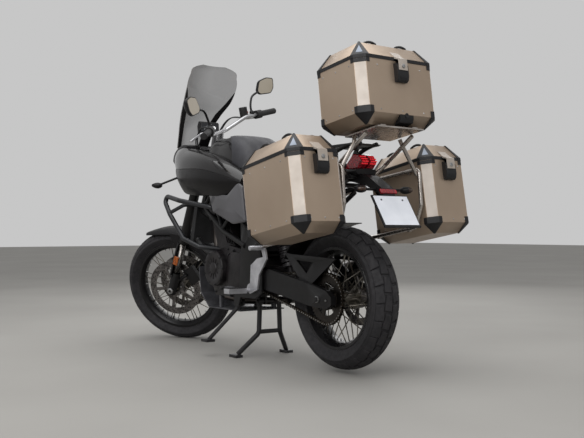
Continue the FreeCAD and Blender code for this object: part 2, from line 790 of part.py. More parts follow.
def footpegs():
    """Bright hanger plates with the rider's and passenger's pegs."""
    outline = [(494, 467), (440, 500), (372, 512), (360, 500), (425, 421), (440, 350), (500, 328), (535, 345), (520, 372), (500, 380)]
    hanger = plate(outline, PLATE_OUT, PLATE_OUT + 9)
    peg = joined([block(492, 540, PLATE_OUT + 30, 300, 332, 356), across(516, 344, PLATE_OUT, PLATE_OUT + 40, 9.0)])
    rear_peg = joined([plate([(410, 560), (380, 565), (360, 500), (385, 500)], PLATE_OUT, PLATE_OUT + 9), across(393, 552, PLATE_OUT, 250, 11.0)])
    return Part.Compound(both(joined([hanger, peg, rear_peg])))


def luggage_rack():
    """Tail rack and a hoop for each side case."""
    pieces = []
    hoop = [(150, 122, 800), (110, 220, 862), (-250, 220, 906), (-264, 220, 746), (-236, 220, 650), (90, 220, 596), (380, 176, 560)]
    up = [(-236, 220, 880), (-232, 140, 1000), (-224, 128, 1032)]
    tail = [(-110, 84, 880), (-128, 130, 925), (-300, 130, 1040)]
    for points, radius in ((hoop, 9.0), (up, 9.0), (tail, 9.0)):
        pieces += both(tube(points, radius, 24.0))
    deck = case_place(block(20, 230, -130, 130, -TOP_HEIGHT - 14, -TOP_HEIGHT - 8), TOP_REAR_X, TOP_SEAM_Z, TOP_TILT)
    for x, z in HOOP_PUCKS:
        pieces += both(across(x, z, 222, SIDE_INNER, 13.0))
    pads = [case_place(block(x, x + 30, y - 15, y + 15, -TOP_HEIGHT - 9, -TOP_HEIGHT - FIT), TOP_REAR_X, TOP_SEAM_Z, TOP_TILT)
            for x in (30, 190) for y in (90, -90)]
    return joined(pieces + [deck] + pads)


HOOP_PUCKS = [(20, 873), (-180, 897), (-180, 641), (20, 608)]

# Cases, built level with the lid's seam at z = 0 and the rear wall at x = 0

TOP_REAR_X = -352.0
TOP_SEAM_Z = 1337.0
SIDE_REAR_X = -276.0
SIDE_SEAM_Z = 950.0


def case_place(shape, x, z, tilt):
    copy = shape.copy()
    copy.rotate(vec(0, 0, 0), side, tilt)
    copy.translate(vec(x, 0, z))
    return copy


def plan(length, y0, y1, corner, inset, z):
    """Rectangle with cut corners, as a wire at one height."""
    x0, x1 = inset, length - inset
    y0, y1 = y0 + inset, y1 - inset
    c = corner - inset * 0.6
    corners = [(x0 + c, y0), (x1 - c, y0), (x1, y0 + c), (x1, y1 - c), (x1 - c, y1), (x0 + c, y1), (x0, y1 - c), (x0, y0 + c)]
    points = [vec(x, y, z) for x, y in corners]
    return Part.makePolygon(points + points[:1])


def prism(length, y0, y1, corner, inset, z0, z1):
    return Part.Face(plan(length, y0, y1, corner, inset, z0)).extrude(vec(0, 0, z1 - z0))


def trim_low(length, y0, y1, height, inset, chamfers):
    """Wedges that bevel the lower edges. Each chamfer: side, width, height."""
    wedges = []
    for where, wide, high in chamfers:
        w, h = wide + 200, (wide + 200) * high / wide
        z = -height + inset + high
        if where == "left":
            pts = [vec(-50, y1 - inset, z), vec(-50, y1 - inset - w, z - h), vec(-50, y1 + 300, z - h), vec(-50, y1 + 300, z)]
            along = vec(length + 100, 0, 0)
        elif where == "right":
            pts = [vec(-50, y0 + inset, z), vec(-50, y0 + inset + w, z - h), vec(-50, y0 - 300, z - h), vec(-50, y0 - 300, z)]
            along = vec(length + 100, 0, 0)
        else:
            x = length - inset
            pts = [vec(x, y0 - 50, z), vec(x - w, y0 - 50, z - h), vec(x + 300, y0 - 50, z - h), vec(x + 300, y0 - 50, z)]
            along = vec(0, y1 - y0 + 100, 0)
        wedges.append(Part.Face(Part.makePolygon(pts + pts[:1])).extrude(along))
    return wedges


def case_body(length, y0, y1, height, chamfers):
    """Open sheet-metal box with cut corners and bevelled lower edges."""
    outer = prism(length, y0, y1, CORNER, 0, -height, 0)
    inner = prism(length, y0, y1, CORNER, CASE_WALL, -height + CASE_WALL, 10)
    for wedge in trim_low(length, y0, y1, height, 0, chamfers):
        outer = outer.cut(wedge)
    for wedge in trim_low(length, y0, y1, height, CASE_WALL, chamfers):
        inner = inner.cut(wedge)
    return outer.cut(inner)


def case_lid(length, y0, y1):
    """Shallow hollow lid with a bevelled top edge."""
    bevel = 10.0
    rise = LID_HEIGHT - bevel
    z0 = FIT
    outer = joined([
        prism(length, y0, y1, CORNER, 0, z0, rise),
        Part.makeLoft([plan(length, y0, y1, CORNER, 0, rise), plan(length, y0, y1, CORNER, bevel, LID_HEIGHT)], True, True),
    ])
    inner = prism(length, y0, y1, CORNER, CASE_WALL, z0 - 5, rise - 2)
    return outer.cut(inner)


HINGE_OUT = 8.0
HINGE_UP = 4.0


def hinge_barrel(length, y_mid, half):
    """Case half of the hinge: a bored barrel on a leaf at the front wall."""
    barrel = across(length + HINGE_OUT, HINGE_UP, y_mid - half, y_mid + half, 5.5)
    leaf = block(length, length + HINGE_OUT, y_mid - half, y_mid + half, -26, -4)
    rib = block(length + HINGE_OUT - 3, length + HINGE_OUT, y_mid - half, y_mid + half, -10, HINGE_UP)
    bore = across(length + HINGE_OUT, HINGE_UP, y_mid - half - 1, y_mid + half + 1, 2.5 + FIT)
    return joined([barrel, leaf, rib]).cut(bore)


def hinge_pin(length, y_mid, half):
    """Lid half of the hinge: two end barrels that hold the pin."""
    pieces = [across(length + HINGE_OUT, HINGE_UP, y_mid - half - 14, y_mid + half + 14, 2.5)]
    for y0, y1 in ((y_mid + half + 0.5, y_mid + half + 20), (y_mid - half - 20, y_mid - half - 0.5)):
        pieces.append(across(length + HINGE_OUT, HINGE_UP, y0, y1, 5.5))
        pieces.append(block(length, length + HINGE_OUT, y0, y1, HINGE_UP, 22))
    return joined(pieces)


def corner_caps(length, y0, y1, z0, z1, chamfer_y=0.0):
    """Plastic caps round the four cut corners between two heights."""
    shell = prism(length + 6, y0 - 3, y1 + 3, CORNER + 2, 0, z0, z1)
    shell.translate(vec(-3, 0, 0))
    core = prism(length + 2 * FIT, y0 - FIT, y1 + FIT, CORNER, 0, z0 - 1, z1 + 1)
    core.translate(vec(-FIT, 0, 0))
    band = shell.cut(core)
    reach = CORNER + 14
    caps = []
    for x in (-10, length - reach + 10):
        for y in (y0 - 10, y1 - reach + 10):
            caps.append(band.common(block(x, x + reach, y, y + reach, z0, z1)))
    return caps


def latch(y_mid):
    """Over-centre latch on the rear wall, below the seam."""
    base = block(-9, -FIT, y_mid - 32, y_mid + 32, -78, -3)
    hasp = block(-16, -9, y_mid - 22, y_mid + 22, -70, -6)
    return joined([base, hasp])


CASES = [
    ("left", SIDE_LENGTH, SIDE_INNER, SIDE_INNER + SIDE_WIDTH, SIDE_HEIGHT, SIDE_REAR_X, SIDE_SEAM_Z, SIDE_TILT,
     [("left", 65.0, 65.0), ("front", 63.0, 50.0)]),
    ("right", SIDE_LENGTH, -SIDE_INNER - SIDE_WIDTH, -SIDE_INNER, SIDE_HEIGHT, SIDE_REAR_X, SIDE_SEAM_Z, SIDE_TILT,
     [("right", 65.0, 65.0), ("front", 63.0, 50.0)]),
    ("top", TOP_LENGTH, -TOP_WIDTH / 2, TOP_WIDTH / 2, TOP_HEIGHT, TOP_REAR_X, TOP_SEAM_Z, TOP_TILT,
     [("left", 42.0, 76.0), ("right", 42.0, 76.0)]),
]


def cases():
    nodes = {}
    fittings = []
    for name, length, y0, y1, height, x, z, tilt, chamfers in CASES:
        y_mid = (y0 + y1) / 2
        half = 40.0
        body = joined([case_body(length, y0, y1, height, chamfers), hinge_barrel(length, y_mid, half)])
        lid = joined([case_lid(length, y0, y1), hinge_pin(length, y_mid, half)])
        caps = corner_caps(length, y0, y1, -34, -3)
        lid_caps = corner_caps(length, y0, y1, 3, LID_HEIGHT - 10)
        nodes[name + "_case"] = case_place(body, x, z, tilt)
        nodes[name + "_case_lid"] = case_place(lid, x, z, tilt)
        nodes[name + "_lid_caps"] = case_place(Part.Compound(lid_caps), x, z, tilt)
        fittings += [case_place(piece, x, z, tilt) for piece in caps + [latch(y_mid)]]
    nodes["case_fittings"] = Part.Compound(fittings)
    return nodes


# Stands


def centre_stand():
    """Two splayed legs with a crossbar, feet flat on the floor."""
    pieces = []
    for sign in (1, -1):
        leg = [(STAND_X, sign * 58, STAND_Z), (STAND_X, sign * 64, 122), (FOOT_X - 6, sign * (FOOT_SPREAD - 6), 16)]
        pieces.append(tube(leg, LEG_TUBE, 40.0))
        pieces.append(across(STAND_X, STAND_Z, sign * 58 - 14, sign * 58 + 14, 19.0))
        pieces.append(block(FOOT_X - 32, FOOT_X + 34, sign * FOOT_SPREAD - 20, sign * FOOT_SPREAD + 20, 0, 14))
    pieces.append(across(STAND_X, 128, -64, 64, 11.0))
    whole = joined(pieces)
    return whole.cut(across(STAND_X, STAND_Z, -100, 100, 8.0 + FIT))


def stand_lugs():
    """Lugs below the engine that carry both stands."""
    pieces = []
    for sign in (1, -1):
        y = sign * 36
        pieces.append(block(STAND_X - 22, STAND_X + 40, y - 6, y + 6, STAND_Z - 18, 332))
    pieces.append(across(STAND_X, STAND_Z, -78, 78, 8.0))
    return pieces




def side_stand():
    eye = across(SIDE_PIVOT.x, SIDE_PIVOT.z, 126, 142, 17.0)
    leg = rod(SIDE_PIVOT, SIDE_FOOT, 10.0)
    foot = block(SIDE_FOOT.x - 24, SIDE_FOOT.x + 34, SIDE_FOOT.y - 22, SIDE_FOOT.y + 26, SIDE_FOOT.z - 12, SIDE_FOOT.z)
    whole = joined([eye, leg, foot])
    return whole.cut(across(SIDE_PIVOT.x, SIDE_PIVOT.z, 120, 170, 7.0 + FIT))


def main():
    frame = main_frame()
    motor = engine()
    arm = swingarm()
    tail = fitted(tail_unit(), frame)
    fairing = fitted(nose_fairing(), *lamp_space())
    screen = fitted(windscreen(), nose_fairing())
    shroud = fitted(shrouds(), fuel_tank())
    forks = fork_outers()
    bar = fitted(handlebar(), forks)
    pegs = footpegs()
    nodes = {
        "main_frame": frame,
        "engine": fitted(motor, frame),
        "airbox": fitted(airbox(), frame, motor),
        "radiator": fitted(radiator(), frame),
        "skid_plate": fitted(skid_plate(), motor),
        "exhaust": exhaust(),
        "swingarm": arm,
        "rear_shock": fitted(rear_shock(), frame, arm),
        "chain": chain(),
        "fuel_tank": fuel_tank(),
        "tank_cover": fitted(tank_cover(), fuel_tank()),
        "shrouds": shroud,
        "side_panels": fitted(side_panels(), shroud, frame),
        "seat": seat(),
        "tail_unit": tail,
        "tail_lamp": tail_lamp(),
        "number_plate": fitted(number_plate(), frame, tail),
        "indicators": fitted(indicators(), number_plate(), shroud),
        "nose_fairing": fairing,
        "headlamps": headlamps(),
        "windscreen": screen,
        "dash": fitted(dash(), nose_fairing(), screen),
        "crash_bars": fitted(crash_bars(), frame, motor, radiator()),
        "footpegs": pegs,
        "luggage_rack": fitted(luggage_rack(), frame, pegs),
        "fork_outers": forks,
        "fork_inners": fork_inners(),
        "fork_feet": fork_feet(),
        "front_fender": front_fender(),
        "handlebar": bar,
        "hand_controls": fitted(hand_controls(), bar),
        "mirrors": fitted(mirrors(), bar),
        "side_stand": side_stand(),
        "centre_stand": centre_stand(),
    }
    nodes.update(front_wheel())
    nodes.update(rear_wheel())
    nodes.update(cases())
    box = Part.Compound([nodes["front_tyre"], nodes["top_case"]]).optimalBoundingBox(False, False)
    middle = (box.XMin + box.XMax) / 2
    os.makedirs("parts", exist_ok=True)
    for name, shape in nodes.items():
        solids = shape.Solids
        whole = solids[0] if len(solids) == 1 else Part.Compound(solids)
        moved(whole, -middle, 0, 0).exportStep("parts/" + name + ".step")
    print("nodes", len(nodes), "origin ahead of the rear axle", round(middle, 3))


main()
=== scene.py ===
import json
import math

import bmesh
import bpy
import numpy as np
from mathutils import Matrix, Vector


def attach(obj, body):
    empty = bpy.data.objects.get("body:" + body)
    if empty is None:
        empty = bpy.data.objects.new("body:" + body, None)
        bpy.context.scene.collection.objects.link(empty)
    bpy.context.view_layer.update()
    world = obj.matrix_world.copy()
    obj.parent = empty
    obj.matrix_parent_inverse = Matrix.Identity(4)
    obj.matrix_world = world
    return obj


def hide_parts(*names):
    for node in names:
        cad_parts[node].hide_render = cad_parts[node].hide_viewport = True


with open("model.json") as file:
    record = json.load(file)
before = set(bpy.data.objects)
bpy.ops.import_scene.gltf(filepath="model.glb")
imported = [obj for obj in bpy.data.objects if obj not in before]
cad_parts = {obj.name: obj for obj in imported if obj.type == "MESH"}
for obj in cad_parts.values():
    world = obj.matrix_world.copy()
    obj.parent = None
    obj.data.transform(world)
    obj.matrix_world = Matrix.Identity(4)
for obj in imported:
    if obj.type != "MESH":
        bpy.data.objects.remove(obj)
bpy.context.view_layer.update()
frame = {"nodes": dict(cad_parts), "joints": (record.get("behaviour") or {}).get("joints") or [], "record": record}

MM = 0.001
# Points nearer than these, in metres, are one point: in finished meshes, and along a cut
WELD = 1e-5
FINE_WELD = 1e-6

# The photograph's camera: a level camera behind the machine's left side,
# placed from the rear axle
EYE_FROM_AXLE = (-2.966, 2.459, 0.633)
LOOKING = (0.807, -0.590)
LENS_MM = 52.77
SENSOR_MM = 36.0
HORIZON_SHIFT = 0.0203

FLOOR_SIZE = 60.0
FLOOR_COLOUR = (152, 150, 146)
FLOOR_SHADE = (144, 142, 138)
SKY_COLOUR = (226, 226, 226)


# Where things are, read from the frame


def joint(name):
    """The frame's row for a joint."""
    return next(item for item in frame["joints"] if item["name"] == name)


REAR_AXLE = np.array(joint("rear_wheel_spin")["pos_m"])
FRONT_AXLE = np.array(joint("front_wheel_spin")["pos_m"])
FRONT_SPIN = np.array(joint("front_wheel_spin")["axis"])
HEAD = np.array(joint("steering_turn")["pos_m"])
STEER_AXIS = np.array(joint("steering_turn")["axis"])
# The top of the steering head, 842 mm along the axis from its foot
NECK = HEAD + STEER_AXIS * 0.842
SIDE = np.array((0.0, 1.0, 0.0))


def from_axle(points):
    """Points in millimetres from the floor below the rear axle, to metres in the frame."""
    return np.asarray(points, float) * MM + (REAR_AXLE[0], 0, 0)


def from_neck(points):
    """Points in millimetres from the top of the steering head, to metres in the frame."""
    return np.asarray(points, float) * MM + (NECK[0], 0, NECK[2])


# Meshes from arrays


def solid(name, points, *faces):
    """A mesh object from an array of points and arrays of equal-sided faces."""
    counts = np.concatenate([np.full(len(part), part.shape[1]) for part in faces])
    corners = np.concatenate([part.ravel() for part in faces])
    data = bpy.data.meshes.new(name)
    data.vertices.add(len(points))
    data.vertices.foreach_set("co", np.asarray(points, np.float32).ravel())
    data.loops.add(len(corners))
    data.loops.foreach_set("vertex_index", corners.astype(np.int32))
    data.polygons.add(len(counts))
    data.polygons.foreach_set("loop_start", (np.cumsum(counts) - counts).astype(np.int32))
    data.update(calc_edges=True)
    return tidied(name, data)


def tidied(name, data, sharp=35.0):
    """Merges doubles, turns the faces outwards, and shades smooth but for sharp edges."""
    mesh = bmesh.new()
    mesh.from_mesh(data)
    bmesh.ops.remove_doubles(mesh, verts=mesh.verts, dist=WELD)
    bmesh.ops.dissolve_degenerate(mesh, edges=mesh.edges, dist=WELD * 0.1)
    bmesh.ops.recalc_face_normals(mesh, faces=mesh.faces)
    mesh.to_mesh(data)
    mesh.free()
    data.polygons.foreach_set("use_smooth", np.ones(len(data.polygons), bool))
    data.set_sharp_from_angle(angle=math.radians(sharp))
    piece = bpy.data.objects.new(name, data)
    bpy.context.scene.collection.objects.link(piece)
    return piece


def grid_faces(rows, columns, wrap_rows=False, wrap_columns=False):
    """Quads between neighbouring points of a grid, with its edges joined where it wraps."""
    row = np.arange(rows if wrap_rows else rows - 1)[:, None]
    column = np.arange(columns if wrap_columns else columns - 1)[None, :]
    next_row, next_column = (row + 1) % rows, (column + 1) % columns
    return np.stack([
        row * columns + column, row * columns + next_column,
        next_row * columns + next_column, next_row * columns + column,
    ], axis=-1).reshape(-1, 4)


def closed_tube(grid):
    """Points and faces of a skin round closed sections, with a fan over each end.

    The grid is sections by points round; each end gets the mean of its section.
    """
    sections, round_count = grid.shape[:2]
    points = np.concatenate([grid.reshape(-1, 3), grid[:1].mean(axis=1), grid[-1:].mean(axis=1)])
    loop = np.arange(round_count)
    after = (loop + 1) % round_count
    last = (sections - 1) * round_count
    start_fan = np.stack([loop, after, np.full(round_count, sections * round_count)], axis=-1)
    end_fan = np.stack([loop + last, after + last, np.full(round_count, sections * round_count + 1)], axis=-1)
    return points, [grid_faces(sections, round_count, wrap_columns=True), start_fan, end_fan]


def joined(parts):
    """One set of points and faces from several: each part is points and a list of face arrays."""
    points = np.concatenate([part[0] for part in parts])
    faces = []
    start = 0
    for part in parts:
        faces += [group + start for group in part[1]]
        start += len(part[0])
    return points, faces


def copied(part, places):
    """Copies of a part, one for each 4 by 4 matrix: every point times every matrix."""
    points, faces = part
    places = np.asarray(places)
    flat = np.concatenate([points, np.ones((len(points), 1))], axis=1)
    spread = np.einsum("kij,nj->kni", places, flat)[..., :3].reshape(-1, 3)
    starts = np.arange(len(places))[:, None, None] * len(points)
    return spread, [(group[None] + starts).reshape(-1, group.shape[1]) for group in faces]


def unit(vectors):
    """Vectors of length one along the given ones."""
    vectors = np.asarray(vectors, float)
    return vectors / np.linalg.norm(vectors, axis=-1, keepdims=True)


def stood(origin, axis, hint=(0.0, 0.31, 0.95)):
    """Matrix that stands a part's Z on an axis at an origin, its X turned by the hint."""
    axis = unit(axis)
    across = unit(np.cross(hint, axis))
    made = np.eye(4)
    made[:3, 0] = across
    made[:3, 1] = np.cross(axis, across)
    made[:3, 2] = axis
    made[:3, 3] = origin
    return made


def moved(origin):
    """Matrix that moves a part to an origin without turning it."""
    made = np.eye(4)
    made[:3, 3] = origin
    return made


def at_axle(part):
    """A part drawn from the floor below the rear axle, moved into the frame."""
    return copied(part, [moved(from_axle((0, 0, 0)))])


def at_neck(part):
    """A part drawn from the top of the steering head, moved into the frame."""
    return copied(part, [moved(from_neck((0, 0, 0)))])


def on_side(part, x, y, z, way):
    """A turned part with its Z across the machine, at millimetres from the rear axle's foot."""
    return copied(part, [stood(from_axle((x, y, z)), (0, way, 0))])


def around(part, radius, count, height=0.0, start=0.0):
    """Copies of a part on a circle about Z, each turned to face outwards."""
    angles = start + np.arange(count) * 2 * math.pi / count
    places = np.zeros((count, 4, 4))
    places[:, 0, 0] = places[:, 1, 1] = np.cos(angles)
    places[:, 1, 0], places[:, 0, 1] = np.sin(angles), -np.sin(angles)
    places[:, 2, 2] = places[:, 3, 3] = 1
    places[:, 0, 3] = radius * MM * np.cos(angles)
    places[:, 1, 3] = radius * MM * np.sin(angles)
    places[:, 2, 3] = height * MM
    return copied(part, places)


def turned(profile, segments=24):
    """A profile of (radius, height) in millimetres turned about Z."""
    angle = np.linspace(0, 2 * math.pi, segments, endpoint=False)
    profile = np.asarray(profile, float) * MM
    grid = np.stack([
        profile[:, :1] * np.cos(angle), profile[:, :1] * np.sin(angle),
        np.broadcast_to(profile[:, 1:], (len(profile), segments)),
    ], axis=-1)
    return closed_tube(grid)


def through(stations, values, samples):
    """Smooth curve through values at stations: cubic pieces whose slopes are the mean of the
    slopes on both sides, read at the sample stations."""
    stations, values = np.asarray(stations, float), np.asarray(values, float)
    shape = (-1,) + (1,) * (values.ndim - 1)
    gaps = np.diff(stations).reshape(shape)
    slopes = np.diff(values, axis=0) / gaps
    inner = (slopes[:-1] * gaps[1:] + slopes[1:] * gaps[:-1]) / (gaps[1:] + gaps[:-1])
    slopes = np.concatenate([slopes[:1], inner, slopes[-1:]])
    index = np.clip(np.searchsorted(stations, samples, side="right") - 1, 0, len(stations) - 2)
    gap = gaps[index]
    t = ((np.asarray(samples) - stations[index]).reshape(shape)) / gap
    return ((2 * t ** 3 - 3 * t ** 2 + 1) * values[index] + (t ** 3 - 2 * t ** 2 + t) * gap * slopes[index]
            + (3 * t ** 2 - 2 * t ** 3) * values[index + 1] + (t ** 3 - t ** 2) * gap * slopes[index + 1])


def route(points, step=0.006):
    """Smooth line through a few points, sampled at about equal steps."""
    points = np.asarray(points, float)
    reach = np.concatenate([[0], np.cumsum(np.linalg.norm(np.diff(points, axis=0), axis=1))])
    count = max(8, int(reach[-1] / step))
    return through(reach, points, np.linspace(0, reach[-1], count))


def swept(path, radius, sides=10, hint=(0.13, 0.21, 0.97)):
    """Round tube along a path: circles square to the path's direction at each point."""
    along = unit(np.gradient(path, axis=0))
    across = unit(np.cross(along, hint))
    over = np.cross(across, along)
    angle = np.linspace(0, 2 * math.pi, sides, endpoint=False)
    radius = np.broadcast_to(np.asarray(radius, float), (len(path),))[:, None, None]
    grid = path[:, None] + radius * (across[:, None] * np.cos(angle)[None, :, None]
                                     + over[:, None] * np.sin(angle)[None, :, None])
    return closed_tube(grid)


# Finishes


def linear(colour):
    """Turns an 8-bit screen colour into the linear values that shaders take."""
    return tuple(((c / 255.0 + 0.055) / 1.055) ** 2.4 if c > 10 else c / 255.0 / 12.92 for c in colour) + (1.0,)


class Finish:
    """A procedural material: one Principled shader with patterns on Object coordinates."""

    def __init__(self, name, colour, roughness, metallic=0.0, **sockets):
        self.material = bpy.data.materials.new(name)
        self.material.use_nodes = True
        self.tree = self.material.node_tree
        self.shader = self.tree.nodes["Principled BSDF"]
        self.shader.inputs["Base Color"].default_value = linear(colour)
        self.shader.inputs["Roughness"].default_value = roughness
        self.shader.inputs["Metallic"].default_value = metallic
        for socket, value in sockets.items():
            self.shader.inputs[socket.replace("_", " ")].default_value = value
        self.place = self.tree.nodes.new("ShaderNodeTexCoord").outputs["Object"]
        self.normal = None

    def node(self, kind, **settings):
        """A new shader node with some of its settings."""
        made = self.tree.nodes.new(kind)
        for key, value in settings.items():
            setattr(made, key, value)
        return made

    def link(self, start, end):
        """Joins an output socket to an input socket."""
        self.tree.links.new(start, end)

    def mapped(self, stretch=(1, 1, 1)):
        """Object coordinates, stretched."""
        mapping = self.node("ShaderNodeMapping")
        mapping.inputs["Scale"].default_value = stretch
        self.link(self.place, mapping.inputs["Vector"])
        return mapping.outputs["Vector"]

    def noise(self, scale, detail=3.0, stretch=(1, 1, 1)):
        """Soft patches, about scale of them to the metre."""
        made = self.node("ShaderNodeTexNoise")
        made.inputs["Scale"].default_value = scale
        made.inputs["Detail"].default_value = detail
        self.link(self.mapped(stretch), made.inputs["Vector"])
        return made.outputs["Fac"]

    def cells(self, scale):
        """Distance to the nearest of many scattered points."""
        made = self.node("ShaderNodeTexVoronoi")
        made.inputs["Scale"].default_value = scale
        self.link(self.mapped(), made.inputs["Vector"])
        return made.outputs["Distance"]

    def ribs(self, scale):
        """Even waves from side to side, about three times scale to the metre."""
        made = self.node("ShaderNodeTexWave", bands_direction="Y", wave_profile="SIN")
        made.inputs["Scale"].default_value = scale
        self.link(self.mapped(), made.inputs["Vector"])
        return made.outputs["Fac"]

    def spread(self, socket, low, high, to_low=0.0, to_high=1.0):
        """Stretches a pattern's values from low..high to to_low..to_high."""
        made = self.node("ShaderNodeMapRange")
        for name, value in (("From Min", low), ("From Max", high), ("To Min", to_low), ("To Max", to_high)):
            made.inputs[name].default_value = value
        self.link(socket, made.inputs["Value"])
        return made.outputs["Result"]

    def tint(self, socket, dark, light):
        """Colours the surface between two colours by a pattern from 0 to 1."""
        made = self.node("ShaderNodeMix", data_type="RGBA")
        made.inputs["A"].default_value = linear(dark)
        made.inputs["B"].default_value = linear(light)
        base = self.shader.inputs["Base Color"]
        self.link(socket, made.inputs["Factor"])
        self.link(made.outputs["Result"], base)
        return self

    def gloss(self, socket):
        """Takes the roughness from a pattern."""
        self.link(socket, self.shader.inputs["Roughness"])
        return self

    def bump(self, socket, strength, distance):
        """Adds relief, on top of any relief that is there already."""
        made = self.node("ShaderNodeBump")
        made.inputs["Strength"].default_value = strength
        made.inputs["Distance"].default_value = distance
        self.link(socket, made.inputs["Height"])
        if self.normal:
            self.link(self.normal, made.inputs["Normal"])
        self.normal = made.outputs["Normal"]
        self.link(self.normal, self.shader.inputs["Normal"])
        return self


def clouded(name, dark, light, roughness, metallic=0.0, patch=9.0, grain=600.0, relief=0.1, depth=0.0003,
            **sockets):
    """A finish whose colour drifts in soft patches and whose surface has a fine grain."""
    made = Finish(name, light, roughness, metallic, **sockets)
    made.tint(made.spread(made.noise(patch), 0.35, 0.68), dark, light)
    made.gloss(made.spread(made.noise(patch * 3), 0.3, 0.7, roughness * 0.85, min(1.0, roughness * 1.15)))
    made.bump(made.noise(grain), relief, depth)
    return made


def champagne_sheet():
    """Anodised sheet: almost even, with a fine grain and broad wiping marks."""
    made = Finish("champagne_sheet", (164, 146, 128), 0.4, 0.55)
    made.tint(made.spread(made.noise(3.0, 4.0), 0.3, 0.7), (157, 139, 121), (170, 152, 134))
    made.gloss(made.spread(made.noise(9.0), 0.3, 0.7, 0.36, 0.47))
    made.bump(made.noise(1500.0, 2.0), 0.05, 0.0002)
    made.bump(made.noise(6.0, 2.0), 0.03, 0.004)
    return made


def grained(name, dark, light, roughness, size=900.0, relief=0.35, **sockets):
    """Moulded plastic or rubber with a leathery grain of small cells."""
    made = clouded(name, dark, light, roughness, relief=0.05, **sockets)
    made.bump(made.spread(made.cells(size), 0.0, 0.6), relief, 0.0003)
    return made


def pebbled_vinyl():
    """Seat cover: fine pebble grain over softer creases."""
    made = clouded("seat_vinyl", (38, 37, 38), (50, 49, 50), 0.55, patch=14.0)
    made.bump(made.spread(made.cells(700.0), 0.0, 0.6), 0.4, 0.0004)
    made.bump(made.noise(26.0, 2.0), 0.12, 0.002)
    return made


def brushed(name, dark, light, roughness, stretch, metallic=0.95):
    """Metal with drawn lines along one direction."""
    made = Finish(name, light, roughness, metallic)
    lines = made.noise(420.0, 3.0, stretch)
    made.tint(made.spread(lines, 0.35, 0.65), dark, light)
    made.gloss(made.spread(made.noise(30.0), 0.3, 0.7, roughness * 0.8, roughness * 1.25))
    made.bump(lines, 0.08, 0.0002)
    return made


def turned_steel():
    """Brake disc faces: steel in small lighter and darker patches under a fine grain."""
    made = Finish("turned_steel", (112, 108, 106), 0.34, 0.9)
    made.tint(made.spread(made.noise(40.0), 0.35, 0.65), (78, 75, 74), (118, 114, 112))
    made.bump(made.noise(900.0, 2.0), 0.12, 0.0002)
    return made


def tread_rubber():
    """Tyre rubber in dusty patches."""
    made = clouded("tread_rubber", (24, 23, 26), (36, 34, 37), 0.74, patch=22.0, grain=900.0, relief=0.25)
    made.bump(made.noise(90.0, 3.0), 0.1, 0.001)
    return made


def radiator_core():
    """Dark core with close vertical fins."""
    made = clouded("radiator_core", (26, 26, 28), (44, 44, 46), 0.5, 0.5)
    made.bump(made.ribs(110.0), 0.9, 0.003)
    return made


def cast_metal(name, dark, light, roughness, metallic, **sockets):
    """Sand-cast surface: a fine pitted skin with slow drifts of colour."""
    return clouded(name, dark, light, roughness, metallic, 18.0, 420.0, 0.35, 0.0006, **sockets)


def gloss_paint(name, dark, light, coat=1.0, **sockets):
    """Clear-coated paint with a faint orange-peel ripple."""
    made = Finish(name, light, 0.3, Coat_Weight=coat, Coat_Roughness=0.04, **sockets)
    made.tint(made.spread(made.noise(5.0), 0.35, 0.68), dark, light)
    made.bump(made.noise(160.0, 2.0), 0.03, 0.0006)
    return made


def smoked_sheet():
    """Smoked screen: see-through, more solid where it turns away, and paler there with a painted reflection."""
    made = Finish("smoked_sheet", (96, 90, 88), 0.06, Specular_IOR_Level=0.6)
    facing = made.node("ShaderNodeLayerWeight")
    facing.inputs["Blend"].default_value = 0.32
    # Paler colour where the sheet turns from the view: painted reflection
    made.tint(made.spread(facing.outputs["Facing"], 0.25, 1.0), (52, 46, 44), (150, 134, 122))
    made.link(made.spread(facing.outputs["Facing"], 0.1, 0.95, 0.34, 0.9), made.shader.inputs["Alpha"])
    made.bump(made.noise(12.0), 0.02, 0.002)
    return made


def lamp_glass(name, dark, light, alpha, ribs=0.0):
    """Coloured or clear lens with fine prisms inside."""
    made = Finish(name, light, 0.08, Alpha=alpha, Specular_IOR_Level=0.7)
    made.tint(made.spread(made.cells(130.0), 0.1, 0.6), light, dark)
    if ribs:
        made.bump(made.ribs(ribs), 0.25, 0.001)
    return made


def silvered():
    """Mirror glass, faintly warm."""
    made = Finish("silvered_glass", (196, 186, 168), 0.03, 1.0)
    made.tint(made.spread(made.noise(4.0), 0.3, 0.7), (182, 172, 154), (202, 192, 176))
    return made


def glowing(name, colour, strength):
    """Lit lamp element."""
    made = Finish(name, colour, 0.2, Emission_Strength=strength)
    made.shader.inputs["Emission Color"].default_value = linear(colour)
    made.tint(made.spread(made.noise(300.0), 0.3, 0.7), tuple(c * 0.8 for c in colour), colour)
    return made


